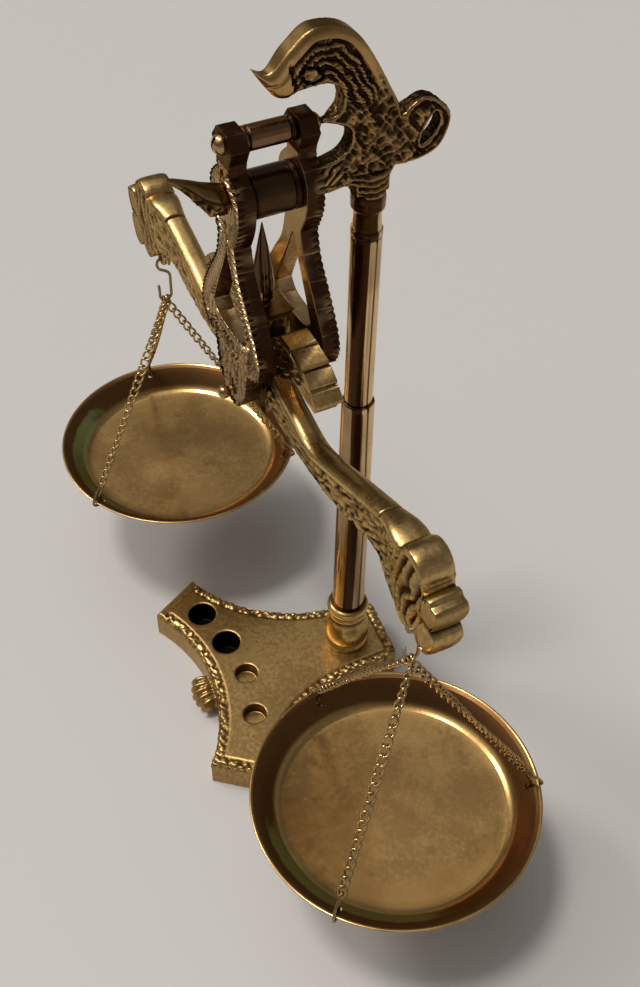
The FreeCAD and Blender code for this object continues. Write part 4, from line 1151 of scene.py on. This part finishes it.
def chain(word, index, pan_centre):
    """Links from the rim wire's tip to the hook's lower bend, each lying a little differently."""
    ring = middle(f"{word}_rim_ring_{index}")
    centre_hang = np.array([pan_centre[0], YOKE_Y, HANG_Z])
    hang = centre_hang + np.array([0, (index - 2) * 0.7, 0])
    start = ring + unit(centre_hang - ring) * (LOOP_LENGTH - 2 + PITCH * 0.42)
    way = unit(hang - start)
    end = hang - way * (PITCH / 2 - 0.1)
    count = int(round(np.linalg.norm(end - start) / PITCH))
    pitch = (end - start) / count
    sideways = unit(np.cross(way, UP))
    normal = np.cross(way, sideways)
    parts = []
    for k in range(count + 1):
        swing = 0.9 * sin(0.16 * k + 1.3 * index) + 0.5 + 0.12 * sin(2.7 * k)
        flat_way = sideways * cos(swing) + normal * sin(swing)
        parts.append(link(start + pitch * k, way, flat_way, np.linalg.norm(pitch) / PITCH))
    new_piece(stacked(parts), f"{word}_link_chain_{index}", word + "_pan", "chain_brass", None,
              f"{word}_chain_{index}")


def pan(word, side):
    """Spun dish with a rolled lip, a soft bend between floor and wall, and three punched holes."""
    name = word + "_pan"
    centre = np.array([side * EYE_X, YOKE_Y, 0])
    depth = RIM_Z - PAN_LOW
    outer = [(29.4, 0.1)] + [(r + 0.35, h) for r, h in [*PAN_WALL, (37.5, depth - 0.5)]]
    lip = [(38.0, depth - 0.3), (37.9, depth - 0.05), (37.5, depth), (37.15, depth - 0.25)]
    inner = [(r - 0.45, h + 0.55) for r, h in PAN_WALL][::-1]
    floor = [(28.6, 0.82), (27.5, 0.76)] + [(r, 0.7 + 0.1 * cos(r / 5.1)) for r in (24, 20, 16, 12, 8, 4)]
    under = [(r, 0) for r in (0, 6, 12, 18, 24, 28.4)]
    profile = under + smooth_line(outer, 4) + lip + smooth_line(inner, 4) + floor + [(0, 0.8)]
    points, faces = turned([(r, PAN_LOW + h) for r, h in profile], centre, sides=192, soften=0.06)
    points = np.array(points)
    reach = np.linalg.norm(points[:, :2] - centre[:2], axis=1)
    flat = points * np.array([1, 1, 0])
    points[:, 2] += (0.07 * noise(flat, 13, 61 + side) + 0.02 * noise(flat, 5, 62)) * rise(reach, 28, 24)
    wear_and_shading = 0.62 - 0.62 * rise(reach, 30.5, 33) + 0.6 * rise(reach, 37.0, 37.3)
    wear_and_shading -= 0.1 * rise(noise(flat, 14, 64 + side), 0.1, 0.6)
    item = new_piece((points, faces), name + "_dish", name, "spun_pan", wear_and_shading, name)
    cutters = []
    for index in (1, 2, 3):
        out = level_way(f"{word}_rim_ring_{index}", centre)
        start = centre + out * 34 + UP * (RIM_Z - 2.0)
        cutters.append(swept([start, start + out * 2, start + out * 4, start + out * 6], 0.75, sides=20))
    cut_with(item, cutters)
    offset = read(item.data.vertices, "co")[:, :2] / MM - centre[:2]
    reach = np.linalg.norm(offset, axis=1)
    away = off_angle(np.degrees(np.arctan2(offset[:, 1], offset[:, 0])), -56 if side > 0 else -98)
    on_wall = rise(away, 68, 30) * rise(np.abs(reach - 32.6), 3.2, 1.2)
    on_bend = 0.45 * rise(np.abs(reach - 29.8), 1.2, 0.4) * rise(away, 120, 60)
    paint(item.data, "verdigris", np.maximum(on_wall, on_bend))
    crease(item, 40)


def hanging(word, side):
    centre = np.array([side * EYE_X, YOKE_Y, RIM_Z])
    hook(word, side)
    pan(word, side)
    for index in (1, 2, 3):
        rim_ring(word, index, centre)
        chain(word, index, centre)


# ---------------------------------------------------------------- stage

FLOOR_REACH = 4.0
SUN_COLOUR = (1.0, 0.97, 0.93)
SUNS = (("key", (-0.05, -0.3, 1), 1.35, 10), ("window", (-0.5, -0.45, 0.74), 0.85, 14))  # way, strength, spread
ROOM_LIGHT = (-0.3, -0.4, 1)
ROOM_LEVELS = ((0.35, 0.16), (0.68, 0.18), (0.87, 0.85))
CAMERA_PLACE = (217.59, -124.85, 337.11)
CAMERA_YAW, CAMERA_DOWN, CAMERA_ROLL = radians(62.32), radians(46.20), radians(1.277)
FOCAL_IN_HEIGHTS = 1278 / 987


def stage():
    corners = [(x, y, 0) for x, y in rectangle(FLOOR_REACH, -FLOOR_REACH, FLOOR_REACH)]
    floor = placed("floor", mesh_of("floor", (corners, [(0, 1, 2, 3)]), 1))
    paper = bpy.data.materials.new("paper")
    paper.use_nodes = True
    shader = paper.node_tree.nodes["Principled BSDF"]
    shader.inputs["Base Color"].default_value = (0.50, 0.485, 0.47, 1)
    shader.inputs["Roughness"].default_value = 0.6
    floor.data.materials.append(paper)

    for name, toward_light, energy, spread in SUNS:
        sun = bpy.data.lights.new(name, "SUN")
        sun.energy = energy
        sun.angle = radians(spread)
        sun.color = SUN_COLOUR
        placed(name, sun).rotation_euler = Vector(toward_light).to_track_quat("Z", "Y").to_euler()

    world = bpy.data.worlds.new("room")
    world.use_nodes = True
    bpy.context.scene.world = world
    tree = world.node_tree
    place = tree.nodes.new("ShaderNodeTexCoord").outputs["Generated"]
    toward = new_node(tree, "VectorMath", {0: place, 1: Vector(ROOM_LIGHT).normalized()}, operation="DOT_PRODUCT")
    node = new_node(tree, "ValToRGB", {"Fac": toward.outputs["Value"]})
    ramp = node.color_ramp
    ramp.interpolation = "EASE"
    ramp.elements[0].position, ramp.elements[1].position = 0.0, 1.0
    ramp.elements[0].color = (0.26, 0.255, 0.24, 1)
    ramp.elements[1].color = (1.5, 1.46, 1.4, 1)
    for position, level in ROOM_LEVELS:
        ramp.elements.new(position).color = (level, level * 0.97, level * 0.93, 1)
    background = tree.nodes["Background"]
    tree.links.new(node.outputs["Color"], background.inputs["Color"])
    background.inputs["Strength"].default_value = 1.0


def camera():
    data = bpy.data.cameras.new("camera")
    data.sensor_fit = "VERTICAL"
    data.sensor_height = 24
    data.lens = FOCAL_IN_HEIGHTS * data.sensor_height
    data.clip_start = 0.01
    item = placed("camera", data)
    yaw, down, roll = CAMERA_YAW, CAMERA_DOWN, CAMERA_ROLL
    look = Vector((-sin(yaw) * cos(down), cos(yaw) * cos(down), -sin(down)))
    right = Vector((cos(yaw), sin(yaw), 0))
    up = right.cross(look)
    right, up = cos(roll) * right + sin(roll) * up, cos(roll) * up - sin(roll) * right
    turn = Matrix((right, up, -look)).transposed()
    item.matrix_world = Matrix.Translation(Vector(CAMERA_PLACE) * MM) @ turn.to_4x4()
    bpy.context.scene.camera = item


def hidden_nodes():
    """CAD nodes that stay as they are, inside or behind others, take their finish here."""
    for name in ("foot_stud", "column_stud", "head_stud", "pivot_pin"):
        materials = frame["nodes"][name].data.materials
        materials.clear()
        materials.append(MATERIALS["pin" if name == "pivot_pin" else "hidden_stud"])


stage()
camera()
base_plate()
column()
head_bracket()
arm_finial()
arm_stud()
yoke_plate("yoke_front_plate", -1)
yoke_plate("yoke_back_plate", 1)
yoke_tubes()
yoke_screws()
pivot_nuts()
beam_centre()
for hand in reversed(HANDS):
    wing_plates(*hand)
for hand in HANDS:
    beam_arm(*hand)
    scroll_end(*hand)
pointer()
for hand in HANDS:
    hanging(*hand)
hidden_nodes()
bpy.context.scene.view_settings.view_transform = "Standard"
